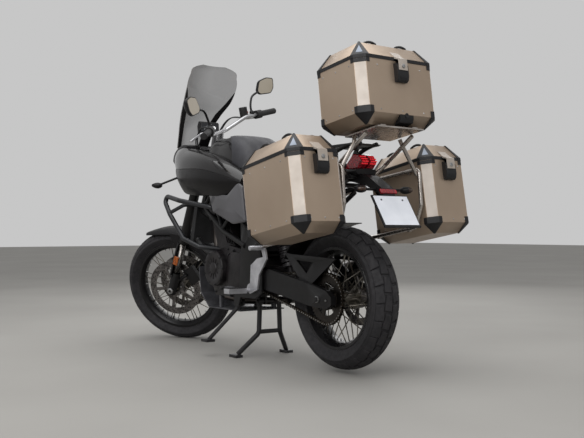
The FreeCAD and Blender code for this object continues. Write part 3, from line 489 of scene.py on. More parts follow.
FINISHES = {
    "champagne": champagne_sheet(),
    "strip": clouded("pale_strip", (168, 158, 148), (184, 175, 166), 0.38, 0.3),
    "cap": grained("cap_plastic", (18, 18, 20), (27, 27, 30), 0.46, Specular_IOR_Level=0.35),
    "cap_inset": clouded("cap_inset", (104, 112, 124), (136, 143, 154), 0.35, 0.6),
    "plastic": grained("grained_plastic", (13, 12, 14), (21, 20, 22), 0.5, Specular_IOR_Level=0.3),
    "gloss_shell": gloss_paint("gloss_shell", (9, 7, 8), (14, 11, 12), 0.6, Specular_IOR_Level=0.2),
    "satin_shroud": clouded("satin_shroud", (11, 9, 10), (16, 13, 15), 0.36,
                            Coat_Weight=0.1, Specular_IOR_Level=0.25),
    "cover": grained("tank_cover_grain", (42, 42, 46), (54, 54, 59), 0.6, size=420.0, relief=0.5),
    "silver_panel": gloss_paint("silver_panel", (58, 57, 60), (76, 75, 79), 0.4),
    "frame": clouded("frame_paint", (10, 9, 10), (16, 15, 17), 0.42, Coat_Weight=0.08, Specular_IOR_Level=0.3),
    "cast_black": cast_metal("cast_black", (17, 14, 16), (34, 30, 32), 0.4, 0.35, Specular_IOR_Level=0.5),
    "cast_grey": cast_metal("cast_grey", (70, 70, 74), (96, 96, 100), 0.45, 0.6),
    "cast_bright": cast_metal("cast_bright", (168, 168, 172), (206, 206, 210), 0.36, 0.7),
    "bar_silver": clouded("bar_silver", (176, 176, 178), (206, 206, 208), 0.3, 0.8),
    "stainless": clouded("stainless", (150, 142, 136), (192, 186, 180), 0.26, 0.95),
    "bar_paint": clouded("bar_paint", (32, 33, 36), (44, 45, 48), 0.36, 0.2),
    "chain": clouded("chain_links", (36, 32, 29), (78, 70, 60), 0.4, 0.8, patch=160.0),
    "sprocket": brushed("sprocket_steel", (40, 37, 35), (66, 62, 58), 0.4, (1, 0.1, 1)),
    "tyre": tread_rubber(),
    "rim": clouded("rim_paint", (16, 15, 17), (25, 24, 26), 0.3, 0.3),
    "spokes": clouded("spoke_steel", (92, 88, 82), (132, 127, 118), 0.32, 0.9),
    "disc": turned_steel(),
    # Near-black plugs in the disc's holes: painted shade in place of open holes
    "hole_shade": clouded("painted_hole_shade", (8, 8, 9), (16, 16, 17), 0.9),
    "bolt": clouded("bolt_steel", (140, 140, 140), (190, 190, 190), 0.3, 0.95, patch=60.0),
    "bolt_black": clouded("bolt_black", (40, 40, 42), (60, 60, 62), 0.4, 0.6, patch=60.0),
    "red_lens": lamp_glass("red_lens", (120, 10, 26), (190, 24, 44), 0.86),
    "red_led": glowing("red_led", (232, 40, 50), 0.5),
    "reflector": lamp_glass("reflector_prisms", (110, 12, 24), (196, 26, 40), 1.0),
    "amber": lamp_glass("amber_lens", (150, 70, 8), (206, 108, 20), 0.94),
    "smoked_amber": lamp_glass("smoked_amber", (44, 26, 14), (72, 40, 18), 1.0),
    "clear_lens": lamp_glass("clear_lens", (206, 210, 214), (228, 231, 234), 0.35, ribs=60.0),
    "bowl": clouded("lamp_bowl", (176, 178, 182), (226, 228, 232), 0.12, 1.0),
    "smoked": smoked_sheet(),
    "vinyl": pebbled_vinyl(),
    "piping": clouded("seat_piping", (52, 51, 52), (66, 65, 66), 0.5),
    "plate_white": clouded("plate_white", (212, 216, 224), (226, 229, 236), 0.38, Coat_Weight=0.3),
    "grip": grained("grip_rubber", (19, 18, 19), (28, 27, 28), 0.7),
    "chrome": clouded("fork_chrome", (118, 114, 110), (168, 164, 160), 0.16, 0.95),
    "exhaust": clouded("exhaust_steel", (72, 68, 66), (104, 98, 94), 0.32, 0.85),
    "stand": clouded("stand_paint", (24, 23, 25), (38, 37, 39), 0.45, 0.2),
    "mirror": silvered(),
    "spring": clouded("spring_paint", (44, 42, 44), (62, 60, 62), 0.35, 0.2),
    "core": radiator_core(),
    "cable": grained("cable_sheath", (22, 22, 24), (32, 32, 34), 0.5),
    # Dark display face; the same dark also fills the side covers' slots as painted shade
    "display_and_slot_shade": clouded("display_face_and_slot_shade", (18, 20, 24), (28, 31, 36), 0.3),
    "dial_mark": clouded("dial_mark", (196, 200, 204), (222, 226, 230), 0.5),
    "switch_red": clouded("switch_red", (150, 22, 26), (186, 34, 36), 0.4),
}


# Putting pieces on their bodies

NODE_BODY = {node: body for body, nodes in frame["record"]["behaviour"]["bodies"].items() for node in nodes}


def fit_out(piece, finish, like, *nodes):
    """Gives a piece its finish, and the body of the node that it goes with.

    It hides the nodes that the piece stands for.
    """
    piece.data.materials.clear()
    piece.data.materials.append(FINISHES[finish].material)
    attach(piece, NODE_BODY[like])
    if nodes:
        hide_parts(*nodes)
    return piece


def trim(name, parts, finish, like, sharp=35.0):
    """A piece joined from parts, on the body of the node that carries it."""
    points, faces = joined(parts)
    piece = solid(name, points, *faces)
    piece.data.set_sharp_from_angle(angle=math.radians(sharp))
    return fit_out(piece, finish, like)


# Columns: node, name of the finished piece, finish, edge radius in mm
NODE_LOOKS = [
    ("main_frame", "frame_tubes", "frame", 1.0),
    ("engine", "engine_castings", "cast_black", 2.2),
    ("airbox", "airbox_moulding", "plastic", 4.0),
    ("radiator", "radiator_fins", "core", 1.0),
    ("skid_plate", "skid_plate_sheet", "cast_grey", 1.0),
    ("exhaust", "exhaust_system", "exhaust", 1.0),
    ("swingarm", "swingarm_welded", "frame", 2.0),
    ("rear_shock", "shock_spring", "spring", 2.0),
    ("crash_bars", "crash_bar_tubes", "bar_paint", 0.6),
    ("footpegs", "footpeg_hangers", "cast_bright", 1.2),
    ("luggage_rack", "rack_tubes", "stainless", 0.8),
    ("fork_outers", "fork_tubes", "frame", 1.5),
    ("fork_inners", "fork_stanchions", "chrome", 0.0),
    ("fork_feet", "fork_lowers", "frame", 2.0),
    ("handlebar", "handlebar_tube", "bar_silver", 1.5),
    ("hand_controls", "grips_and_switches", "grip", 2.0),
    ("side_stand", "side_stand_leg", "stand", 1.5),
    ("centre_stand", "centre_stand_legs", "stand", 1.5),
    ("front_rim", "front_rim_hoop", "rim", 0.8),
    ("rear_rim", "rear_rim_hoop", "rim", 0.8),
    ("front_hub", "front_spokes", "spokes", 0.0),
    ("rear_hub", "rear_spokes", "spokes", 0.0),
    ("front_discs", "front_disc_pair", "disc", 0.4),
    ("rear_sprocket", "rear_sprocket_ring", "sprocket", 0.4),
    ("rear_disc", "rear_disc_ring", "disc", 0.4),
]


def finish_nodes():
    """A welded copy of each node, with rounded edges, in place of the node."""
    for node, name, finish, radius in NODE_LOOKS:
        copy = tidied(name, frame["nodes"][node].data.copy(), 28.0)
        fit_out(copy, finish, node, node)
        if radius:
            rounded(copy, radius * MM)


def rounded(piece, radius, segments=2, angle=38.0):
    """Rounds the edges whose faces meet at more than an angle."""
    edges = piece.modifiers.new("rounded_edges", "BEVEL")
    edges.width = radius
    edges.segments = segments
    edges.limit_method = "ANGLE"
    edges.angle_limit = math.radians(angle)
    edges.harden_normals = True
    edges.miter_outer = "MITER_ARC"


# Luggage cases: sheet boxes with cut corners, built level with the seam at z = 0, the rear
# wall at x = 0, then tilted into place


# Corner cut and sheet; the lid's straight wall, its top and how far its bevels lean in; height and
# lean of the floor's bevels; how far the caps stand out and reach along; upper end of the strips;
# gap between box and lid
CUT = 36.0
WALL = 2.0
LID_EDGE, LID_TOP, LID_SLOPE = 12.0, 82.0, 58.0
LOW_BEVEL, LOW_SLOPE = 40.0, 50.0
CAP = 3.0
CAP_REACH = 54.0
STRIP_TOP = -19.0
SEAM_GAP = 0.3
# Columns: name, length, low y, high y, height, rear x, seam z, tilt, walls with tie loops
CASES = [
    ("left", 400.0, 235.0, 490.0, 322.0, -276.0, 950.0, 9.8, "sides"),
    ("right", 400.0, -490.0, -235.0, 322.0, -276.0, 950.0, 9.8, "sides"),
    ("top", 308.0, -215.0, 215.0, 265.0, -352.0, 1337.0, 7.8, "ends"),
]


def seated(x, z, tilt):
    """Matrix that tilts a case nose down and sets its rear seam at x, z."""
    lean = math.radians(tilt)
    made = np.eye(4)
    made[0, 0], made[0, 2] = math.cos(lean), math.sin(lean)
    made[2, 0], made[2, 2] = -math.sin(lean), math.cos(lean)
    made[:3, 3] = from_axle((x, 0, z))
    return made


def cut_loop(plan, cut, z):
    """Eight corners of a cut-cornered rectangle at one height."""
    x0, x1, y0, y1 = plan
    flat = np.array([(x0 + cut, y0), (x1 - cut, y0), (x1, y0 + cut), (x1, y1 - cut),
                     (x1 - cut, y1), (x0 + cut, y1), (x0, y1 - cut), (x0, y0 + cut)])
    return np.column_stack([flat, np.full(8, z)])


def square_loop(plan, inset, z):
    """Four corners of a rectangle, each named twice, to close a cut-cornered loop."""
    x0, x1, y0, y1 = plan
    x0, x1, y0, y1 = x0 + inset, x1 - inset, y0 + inset, y1 - inset
    flat = np.array([(x0, y0), (x1, y0), (x1, y0), (x1, y1), (x1, y1), (x0, y1), (x0, y1), (x0, y0)])
    return np.column_stack([flat, np.full(8, z)])


def hip_loops(plan, grow, z_open, z_edge, z_flat, slope):
    """Loops of a box that four bevels and a flat close, all moved outwards by grow."""
    drop = z_flat - z_edge
    way = math.copysign(1, drop)
    length = math.hypot(drop, slope)
    edge = z_edge + way * grow * (length - abs(drop)) / slope
    inset = slope - grow * (length - slope) / abs(drop) + grow
    x0, x1, y0, y1 = plan
    wide = (x0 - grow, x1 + grow, y0 - grow, y1 + grow)
    cut = CUT + grow * (2 - math.sqrt(2))
    flat = square_loop(wide, inset, z_flat + way * grow)
    return [cut_loop(wide, cut, z_open), cut_loop(wide, cut, edge), flat]


def lid_loops(plan, grow):
    """Loops of a lid, open at its lower edge just above the seam."""
    return hip_loops(plan, grow, SEAM_GAP, LID_EDGE, LID_TOP, LID_SLOPE)


def body_loops(plan, height, grow, z_open=0.0):
    """Loops of a box with a bevelled floor, open at its upper edge."""
    return hip_loops(plan, grow, z_open, LOW_BEVEL - height, -height, LOW_SLOPE)


def stacked(loops):
    """Skin over loops in millimetres, closed at both ends."""
    return closed_tube(np.array(loops) * MM)


def hollow(outer, inner):
    """Skin down the inner wall from its flat, over the rim and down the outer wall."""
    return stacked(inner[::-1] + outer)


def kept(part, planes):
    """What is left of a closed convex part behind each plane (point and outward normal)."""
    points, faces = part
    mesh = bmesh.new()
    corners = [mesh.verts.new(point) for point in points]
    for group in faces:
        for face in group:
            mesh.faces.new([corners[index] for index in face])
    bmesh.ops.remove_doubles(mesh, verts=mesh.verts, dist=FINE_WELD)
    for point, normal in planes:
        cut = bmesh.ops.bisect_plane(
            mesh, geom=mesh.verts[:] + mesh.edges[:] + mesh.faces[:], dist=FINE_WELD,
            plane_co=np.asarray(point) * MM, plane_no=normal, clear_outer=True)
        rim = [item for item in cut["geom_cut"] if isinstance(item, bmesh.types.BMEdge)]
        bmesh.ops.edgenet_fill(mesh, edges=rim)
    bmesh.ops.triangulate(mesh, faces=mesh.faces)
    mesh.verts.index_update()
    left = np.array([vert.co[:] for vert in mesh.verts])
    sides = np.array([[vert.index for vert in face.verts] for face in mesh.faces])
    mesh.free()
    return left, [sides]


def corners_of(plan):
    """The four corners with the signs that lead inwards from them."""
    x0, x1, y0, y1 = plan
    return [(x0, y0, 1, 1), (x0, y1, 1, -1), (x1, y0, -1, 1), (x1, y1, -1, -1)]


def kite(corner, reach, apex):
    """Planes of a kite-shaped column over one corner: reach along both walls, apex inside."""
    x, y, in_x, in_y = corner
    side_a = (x + in_x * reach, y, 0), (in_x * apex, in_y * (reach - apex), 0)
    side_b = (x, y + in_y * reach, 0), (in_x * (reach - apex), in_y * apex, 0)
    return [side_a, side_b]


def dome(radius, height, segments=10):
    """Low round head without a socket."""
    return turned([(radius, 0), (radius * 0.8, height * 0.7), (radius * 0.3, height)], segments)


def screw(radius, height=1.6, segments=12):
    """Round head with a hollow socket."""
    return turned([(radius, 0), (radius, height), (radius * 0.82, height + 0.5), (radius * 0.5, height + 0.5),
                   (radius * 0.42, height * 0.5)], segments)


def faced(x, y, z, way):
    """Matrix that stands a part on a wall at a point in millimetres, its Z along the way."""
    return stood(np.array((x, y, z)) * MM, way)


def case_pieces(name, length, y0, y1, height, rear_x, seam_z, tilt, loops):
    """Box, lid, caps, strips, latch, loops and rivets of one case."""
    plan = (0.0, length, y0, y1)
    middle = (y0 + y1) / 2
    seat = [seated(rear_x, seam_z, tilt)]
    low = LOW_BEVEL - height
    box = hollow(body_loops(plan, height, 0), body_loops(plan, height, -WALL))
    lid = hollow(lid_loops(plan, 0), lid_loops(plan, -WALL))
    place_shell(name + "_case_box", [box, hinge_leaf(length, middle)], seat, "champagne", name + "_case")
    place_shell(name + "_case_cover", [lid, hinge_ends(length, middle)], seat, "champagne", name + "_case_lid")

    lid_cap = stacked(lid_loops(plan, CAP))
    foot_cap = stacked(body_loops(plan, height, CAP, low + 26))
    band = level_band(plan, CAP - 1, -18, -1)
    upper, lower, insets, strips, screws = [level_band(plan, 1.8, SEAM_GAP, LID_EDGE + 3)], [], [], [], []
    for corner in corners_of(plan):
        upper.append(kept(lid_cap, kite(corner, CAP_REACH, LID_SLOPE + 5)))
        insets.append(inset_plate(corner))
        lower.append(kept(foot_cap, kite(corner, CAP_REACH, LOW_SLOPE + 4)))
        lower.append(kept(band, kite(corner, CUT + 16, CUT * 0.75)))
        strips.append(strip_plate(corner, low + 27, STRIP_TOP))
        screws += corner_screws(corner, low)
    trims = name + "_lid_caps"
    place_shell(name + "_lid_trim", upper, seat, "cap", trims)
    place_shell(name + "_lid_insets", insets, seat, "cap_inset", None, trims)
    rods = [swept(route(np.array(points) * MM, 0.004), 0.0056, 8) for points in loop_routes(plan, loops)]
    place_shell(name + "_tie_loops", rods, seat, "bolt_black", None, trims)
    hasp_parts, lock = hasp(middle)
    place_shell(name + "_hasp", hasp_parts, seat, "strip", None, trims)
    place_shell(name + "_hasp_lock", lock, seat, "bolt", None, trims)
    place_shell(name + "_case_screws", screws, seat, "bolt", None, "case_fittings")
    place_shell(name + "_edge_strips", strips, seat, "strip", None, "case_fittings")
    lower.append(latch(middle))
    if name == "top":
        lower.append(lock_block(middle - 20, low))
    place_shell(name + "_corner_guards", lower, seat, "cap", None, "case_fittings")
    place_shell(name + "_rivets", rivet_rows(plan, low), seat, "bolt", None, name + "_case")


def level_band(plan, grow, low, high):
    """Straight-walled band round a case, moved outwards by grow, between two heights."""
    x0, x1, y0, y1 = plan
    return stacked([cut_loop((x0 - grow, x1 + grow, y0 - grow, y1 + grow), CUT + 1, z) for z in (low, high)])


def corner_screws(corner, low):
    """One screw low and one high on each of the two walls beside a corner."""
    x, y, in_x, in_y = corner
    aside = CUT + 8
    screws = []
    for spot, way in (((x, y + in_y * aside, 0), (-in_x, 0, 0)), ((x + in_x * aside, y, 0), (0, -in_y, 0))):
        for z, reach in ((low + 12, CAP), (-9, CAP - 1)):
            at = np.array(spot) + np.array(way) * (reach - 1.4) + (0, 0, z)
            screws.append(copied(screw(3.6, 0.8), [faced(*at, way)]))
    return screws


def place_shell(name, parts, seat, finish, stands_for, like=None):
    """A piece drawn on the level case, tilted into its seat; it may stand for a node."""
    piece = trim(name, [copied(part, seat) for part in parts], finish, like or stands_for)
    if stands_for:
        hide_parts(stands_for)


def inset_plate(corner):
    """Three-cornered plate on the cap over a corner's bevel: the triangle, shrunk about its middle."""
    x, y, in_x, in_y = corner
    loop_low = np.array([(x + in_x * CUT, y, LID_EDGE), (x, y + in_y * CUT, LID_EDGE)])
    peak = np.array((x + in_x * LID_SLOPE, y + in_y * LID_SLOPE, LID_TOP))
    triangle = np.vstack([loop_low, peak])
    normal = unit(np.cross(triangle[1] - triangle[0], peak - triangle[0]))
    normal = normal * np.sign(normal[2])
    middle = triangle.mean(axis=0)
    small = middle + (triangle - middle) * 0.56
    return closed_tube(np.stack([small + normal * 1.0, small + normal * (CAP + 0.7)]) * MM)


def strip_plate(corner, z0, z1):
    """Flat strip on a cut corner: as wide as the cut less 2 mm, 1.2 mm proud."""
    x, y, in_x, in_y = corner
    middle = np.array((x + in_x * CUT / 2, y + in_y * CUT / 2, 0))
    out = unit((-in_x, -in_y, 0))
    half = CUT / math.sqrt(2) - 2.0
    along = np.cross(out, (0, 0, 1))
    section = [middle + along * u + out * v for u, v in ((-half, -0.4), (half, -0.4), (half, 1.2), (-half, 1.2))]
    return closed_tube(np.stack([np.array(section) + (0, 0, z0), np.array(section) + (0, 0, z1)]) * MM)


def loop_routes(plan, walls):
    """Routes of the strap loops that stand on the lid beside two walls."""
    x0, x1, y0, y1 = plan
    inset = LID_SLOPE + 12
    routes = []
    for share in (0.3, 0.7):
        if walls == "sides":
            x = x0 + (x1 - x0) * share
            ends = [((x - 30, y), (x + 30, y)) for y in (y0 + inset, y1 - inset)]
        else:
            y = y0 + (y1 - y0) * share
            ends = [((x, y - 30), (x, y + 30)) for x in (x0 + inset, x1 - inset)]
        for start, end in ends:
            near = np.array(start) + (np.array(end) - start) * 0.14
            far = np.array(start) + (np.array(end) - start) * 0.86
            routes.append([(*start, LID_TOP - 2), (*start, LID_TOP + 5), (*near, LID_TOP + 9),
                           (*far, LID_TOP + 9), (*end, LID_TOP + 5), (*end, LID_TOP - 2)])
    return routes


def block(x0, x1, y0, y1, z0, z1):
    """Box between two corners in millimetres."""
    loop = np.array([(x0, y0), (x1, y0), (x1, y1), (x0, y1)])
    return closed_tube(np.stack([np.column_stack([loop, np.full(4, z)]) for z in (z0, z1)]) * MM)


def side_plate(steps, way=1):
    """Skin over outlines in the side view, each given with its distance from the middle plane."""
    rows = []
    for outline, y in steps:
        flat = np.asarray(outline, float)
        rows.append(np.column_stack([flat[:, 0], np.full(len(flat), way * y), flat[:, 1]]))
    return closed_tube(np.stack(rows) * MM)


def cross_prism(outline, y0, y1):
    """Outline in the side view, from y0 to y1: the outline's two copies joined by walls."""
    return side_plate([(outline, y0), (outline, y1)])


def latch(middle):
    """Black latch body on the rear wall, below the seam, with a sunk face."""
    side_view = [(0.5, -12), (-18, -14), (-24, -24), (-24, -66), (-19, -84), (-9, -92), (0.5, -90)]
    return joined([cross_prism(side_view, middle - 31, middle + 31),
                   cross_prism([(-21, -46), (-23.4, -50), (-23.4, -74), (-18, -84)], middle - 16, middle + 16)])


def hasp(middle):
    """Plate on the lid's rear bevel with a tongue over the latch, and the lock in it."""
    rise = (LID_TOP - LID_EDGE) / LID_SLOPE
    outline = [(-27, -44), (-24.3, -44), (-24.3, 0), (-4, 8), (1, LID_EDGE), (26, LID_EDGE + 26 * rise - 1),
               (23, LID_EDGE + 23 * rise + 4.5), (-6, LID_EDGE + 3), (-27, 4)]
    barrel = turned([(9, 0), (9, 3), (7.5, 3.8), (5, 3.8), (4.4, 2.6)], 20)
    slot = block(-31.2, -29.2, middle - 1.2, middle + 1.2, -31, -21)
    return ([cross_prism(outline, middle - 24, middle + 24)],
            [copied(barrel, [faced(-26.6, middle, -26, (-1, 0, 0))]), slot])


def lock_block(middle, low):
    """Round-backed lock housing that clips the top case to its rack."""
    outline = [(6, low + 16), (1, low + 14), (0, low + 4), (1, low - 16), (8, low - 32), (40, low - 38)]
    barrel = turned([(11, 0), (11, 1.4), (9, 2), (6, 2), (5, 0.8)], 20)
    return joined([cross_prism(outline, middle - 38, middle + 38),
                   copied(barrel, [faced(0.2, middle, low - 4, (-1, 0, 0))])])


def rivet_rows(plan, low):
    """Small domed rivets along the seam and the lower edge of all four walls."""
    x0, x1, y0, y1 = plan
    rivets = []
    for z in (-26.0, low + 14.0):
        for share in (0.22, 0.5, 0.78):
            for x, way in ((x0, (-1, 0, 0)), (x1, (1, 0, 0))):
                if z > -30 and share == 0.5:
                    continue
                rivets.append(faced(x, y0 + (y1 - y0) * share, z, way))
            for y, way in ((y0, (0, -1, 0)), (y1, (0, 1, 0))):
                rivets.append(faced(x0 + (x1 - x0) * share, y, z, way))
    return [copied(dome(3.4, 1.5), rivets)]


def hinge_leaf(length, middle):
    """The box's leaf and long knuckle on the front wall."""
    knuckle = turned([(5.5, -40), (5.5, 40)], 14)
    return joined([block(length - 1, length + 6, middle - 40, middle + 40, -26, -3),
                   copied(knuckle, [faced(length + 8, middle, 4, (0, 1, 0))])])


def hinge_ends(length, middle):
    """The lid's two knuckles on the hinge pin, each with its leaf."""
    parts = []
    for way in (1, -1):
        knuckle = turned([(5.5, -9.5), (5.5, 9.5)], 14)
        parts.append(copied(knuckle, [faced(length + 8, middle + way * 51, 4, (0, 1, 0))]))
        parts.append(block(length - 1, length + 5, middle + way * 51 - 9, middle + way * 51 + 9, 2, LID_EDGE))
    return joined(parts)


def cases():
    """All three cases; their corner guards together stand for the node of the fittings."""
    for row in CASES:
        case_pieces(*row)
    for piece in ("left", "right", "top"):
        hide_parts("case_fittings")


# Tyres: the tread stands on a lowered crown as separate blocks


# Depth of the grooves, and how often the pattern repeats round the tyre
TREAD_DEPTH = 6.5
TREAD_PITCHES = 25


def crown_point(place, tyre_radius, crown, depth):
    """Point on the crown: place holds the turn and the crown angle, both in radians.

    The crown is an arc across the tyre whose radius is the crown less the depth, about a
    point that lies one crown radius inside the tyre's largest radius.
    """
    turn, lean = place[..., 0], place[..., 1]
    reach = tyre_radius - crown + (crown - depth) * np.cos(lean)
    return np.stack([reach * np.cos(turn), reach * np.sin(turn), (crown - depth) * np.sin(lean)], axis=-1) * MM


def tread_block(corners, tyre_radius, crown):
    """Block on the crown between four (pitch, degrees) corners, as rings from its foot to its face."""
    corners = np.asarray(corners, float)
    rim = np.concatenate([corners[i] + (corners[(i + 1) % 4] - corners[i]) * np.arange(4)[:, None] / 4
                          for i in range(4)])
    middle = rim.mean(axis=0)
    scale = np.array((2 * math.pi / TREAD_PITCHES, math.pi / 180))
    rings = []
    for share, depth in ((1.09, TREAD_DEPTH + 1.5), (1.0, 1.0), (0.96, 0.0), (0.45, -0.05)):
        rings.append(crown_point((middle + (rim - middle) * share) * scale, tyre_radius, crown, depth))
    return closed_tube(np.array(rings))


def tread(tyre_radius, crown):
    """Staggered shoulder and centre blocks on both sides, repeated round the wheel."""
    blocks = []
    for way, shift in ((1, 0.0), (-1, 0.5)):
        for corners in (
            [(0.02, 25), (0.90, 31), (0.90, 54), (-0.06, 54)],
            [(0.52, 3), (1.30, 2), (1.40, 21), (0.58, 27)],
        ):
            corners = [(pitch + shift, way * lean) for pitch, lean in corners]
            blocks.append(tread_block(corners, tyre_radius, crown))
    return around(joined(blocks), 0.0, TREAD_PITCHES)


def carcass(tyre_radius, width, crown, bead, rim_width):
    """Tyre skin: a closed section turned about the axle.

    The section is a smooth curve from bead over a bulging wall to the shoulder, an arc
    across the crown that is lowered by the tread's depth, the same wall mirrored, and an
    inner line.
    """
    half, bead_half = width / 2, rim_width / 2 - 6
    lip = bead + 13
    edge = math.asin(half * 0.9 / crown)
    shoulder_r = tyre_radius - crown + crown * math.cos(edge)
    belly_r = (bead + tyre_radius) / 2 + 2
    wall_points = [(bead + 0.3, bead_half), (lip, bead_half + 2), (belly_r, half),
                   (shoulder_r - 6, half * 0.93), (shoulder_r, half * 0.88)]
    wall = through([0, 1, 2, 3, 4], wall_points, np.linspace(0, 4, 22))
    lean = np.linspace(edge * 0.97, -edge * 0.97, 17)
    low = crown - TREAD_DEPTH
    top = np.column_stack([tyre_radius - crown + low * np.cos(lean), low * np.sin(lean)])
    inside = np.array([(bead + 0.3, -bead_half * 0.8), (shoulder_r - 11, -half * 0.8), (tyre_radius - 17, 0),
                       (shoulder_r - 11, half * 0.8), (bead + 0.3, bead_half * 0.8)])
    profile = np.concatenate([wall, top, wall[::-1] * (1, -1), inside]) * MM
    turn = np.linspace(0, 2 * math.pi, 128, endpoint=False)[:, None]
    grid = np.stack([profile[:, 0] * np.cos(turn), profile[:, 0] * np.sin(turn),
                     np.broadcast_to(profile[:, 1], (128, len(profile)))], axis=-1)
    return grid.reshape(-1, 3), [grid_faces(128, len(profile), True, True)]


def tyre_piece(name, node, hub, axis, sizes):
    """Carcass and tread of one tyre, with two thin lines above the bead on each wall."""
    tyre_radius, _, crown, bead, rim_width = sizes
    rings = [ring_line(bead + above, way * (rim_width / 2 + beside), 0.0012)
             for way in (1, -1) for above, beside in ((24, 0.5), (30, 3.2))]
    parts = [carcass(*sizes), tread(tyre_radius, crown)] + rings
    piece = trim(name, [copied(part, [stood(hub, axis)]) for part in parts], "tyre", node, 32.0)
    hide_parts(node)


def ring_line(reach, side, radius, count=96, sides=6):
    """Thin ring of round section about Z: reach and side in millimetres, its radius in metres."""
    turn = np.linspace(0, 2 * math.pi, count + 1)[:-1]
    path = np.column_stack([reach * np.cos(turn), reach * np.sin(turn), np.full(count, side)]) * MM
    out = unit(path * (1, 1, 0))
    angle = np.linspace(0, 2 * math.pi, sides, endpoint=False)[None, :, None]
    grid = path[:, None] + radius * (out[:, None] * np.cos(angle) + np.array((0, 0, 1.0)) * np.sin(angle))
    return grid.reshape(-1, 3), [grid_faces(count, sides, True, True)]


# Columns: outer radius, width, crown radius, bead radius, rim width
TYRE_SIZES = {
    "front": (329.3, 110.0, 60.0, 241.3, 76.0),
    "rear": (320.9, 150.0, 82.0, 215.9, 112.0),
}


def tyres():
    """The two treaded tyres, each in place of its node."""
    tyre_piece("front_tyre_treaded", "front_tyre", FRONT_AXLE, FRONT_SPIN, TYRE_SIZES["front"])
    tyre_piece("rear_tyre_treaded", "rear_tyre", REAR_AXLE, SIDE, TYRE_SIZES["rear"])


# Bodywork skins


def shoulder_loops(rows, samples, puff=0.0):
    """Loops across the machine from rows of (x, low z, low half, side z, side half, top z, top half).

    Straight from low to side, a bulged arc to the top, then an arch over the middle that
    rises by puff; the values between rows follow smooth curves.
    """
    rows = np.asarray(rows, float)
    rows = rows[np.argsort(rows[:, 0])]
    x = np.linspace(rows[0, 0], rows[-1, 0], samples)
    z_low, w_low, z_side, w_side, z_top, w_top = np.moveaxis(through(rows[:, 0], rows[:, 1:], x), 1, 0)[:, :, None]
    t = np.linspace(0, 1, 6)[None, :]
    lower = np.stack([w_low + (w_side - w_low) * t, z_low + (z_side - z_low) * t], axis=-1)
    t = np.linspace(0, 1, 11)[None, 1:]
    mid_w, mid_z = w_top + (w_side - w_top) * 0.72, z_side + (z_top - z_side) * 0.72
    bend_w, bend_z = 2 * mid_w - (w_side + w_top) / 2, 2 * mid_z - (z_side + z_top) / 2
    upper = np.stack([(1 - t) ** 2 * w_side + 2 * t * (1 - t) * bend_w + t ** 2 * w_top,
                      (1 - t) ** 2 * z_side + 2 * t * (1 - t) * bend_z + t ** 2 * z_top], axis=-1)
    t = np.linspace(0, 1, 6)[None, 1:-1]
    arch = np.stack([w_top * (1 - t), z_top + puff * (1 - (1 - t) ** 2)], axis=-1)
    middle = np.stack([w_top * 0, z_top + puff], axis=-1)
    half = np.concatenate([lower, upper, arch, middle], axis=1)
    whole = np.concatenate([half, (half * (-1, 1))[:, -2::-1]], axis=1)
    return np.concatenate([np.broadcast_to(x[:, None, None], whole.shape[:2] + (1,)), whole], axis=-1)


# Rows of shoulder_loops, measured from the neck
TANK_ROWS = [
    (-80, -120, 60, -64, 108, 14, 64), (-140, -170, 90, -78, 146, 46, 80), (-243, -230, 100, -86, 154, 50, 86),
    (-393, -260, 100, -106, 152, 36, 84), (-470, -272, 96, -136, 140, -16, 78),
    (-532, -280, 84, -200, 116, -124, 62),
]
# Columns: x, inner half, then half and z of the upper edge, the crease and the lower edge
SHELL_ROWS = [
    (196, 132, 138, 18, 152, -84, 140, -150), (104, 152, 157, 22, 204, -96, 174, -186),
    (-6, 152, 170, 8, 246, -106, 208, -232), (-120, 132, 180, -8, 264, -112, 228, -248),
    (-293, 130, 184, -50, 262, -126, 234, -256), (-430, 120, 172, -104, 236, -160, 214, -254),
    (-533, 108, 140, -160, 196, -196, 180, -226),
]
# Rows of shoulder_loops, measured from the neck
NOSE_ROWS = [
    (343, -66, 36, -36, 58, -6, 34), (310, -94, 64, -36, 104, 20, 62), (250, -112, 84, -42, 134, 44, 84),
    (208, -86, 92, -30, 140, 50, 92), (168, 0, 90, 14, 138, 46, 96), (140, 8, 88, 20, 134, 38, 100),
]
FILLER_AXIS = (0.03, 0, 1)
# Columns: edge x, z, half width, how far the middle stands ahead of the edges
SCREEN_ROWS = [
    (300, 40, 90, 62), (272, 100, 98, 70), (240, 166, 108, 74), (176, 235, 130, 66), (112, 292, 149, 58),
    (71, 349, 156, 52), (42, 420, 148, 46), (34, 466, 118, 34), (40, 481, 70, 16),
]


def arc_between(start, end, share, count):
    """Points of an arc from start to end (rows of y, z) that swells outwards by a share of its chord."""
    chord = end - start
    out = np.stack([-chord[..., 1], chord[..., 0]], axis=-1)
    out = out * np.where(out[..., :1] < 0, -1, 1)
    t = np.linspace(0, 1, count)[None, :, None]
    return start[:, None] + chord[:, None] * t + out[:, None] * share * 4 * t * (1 - t)


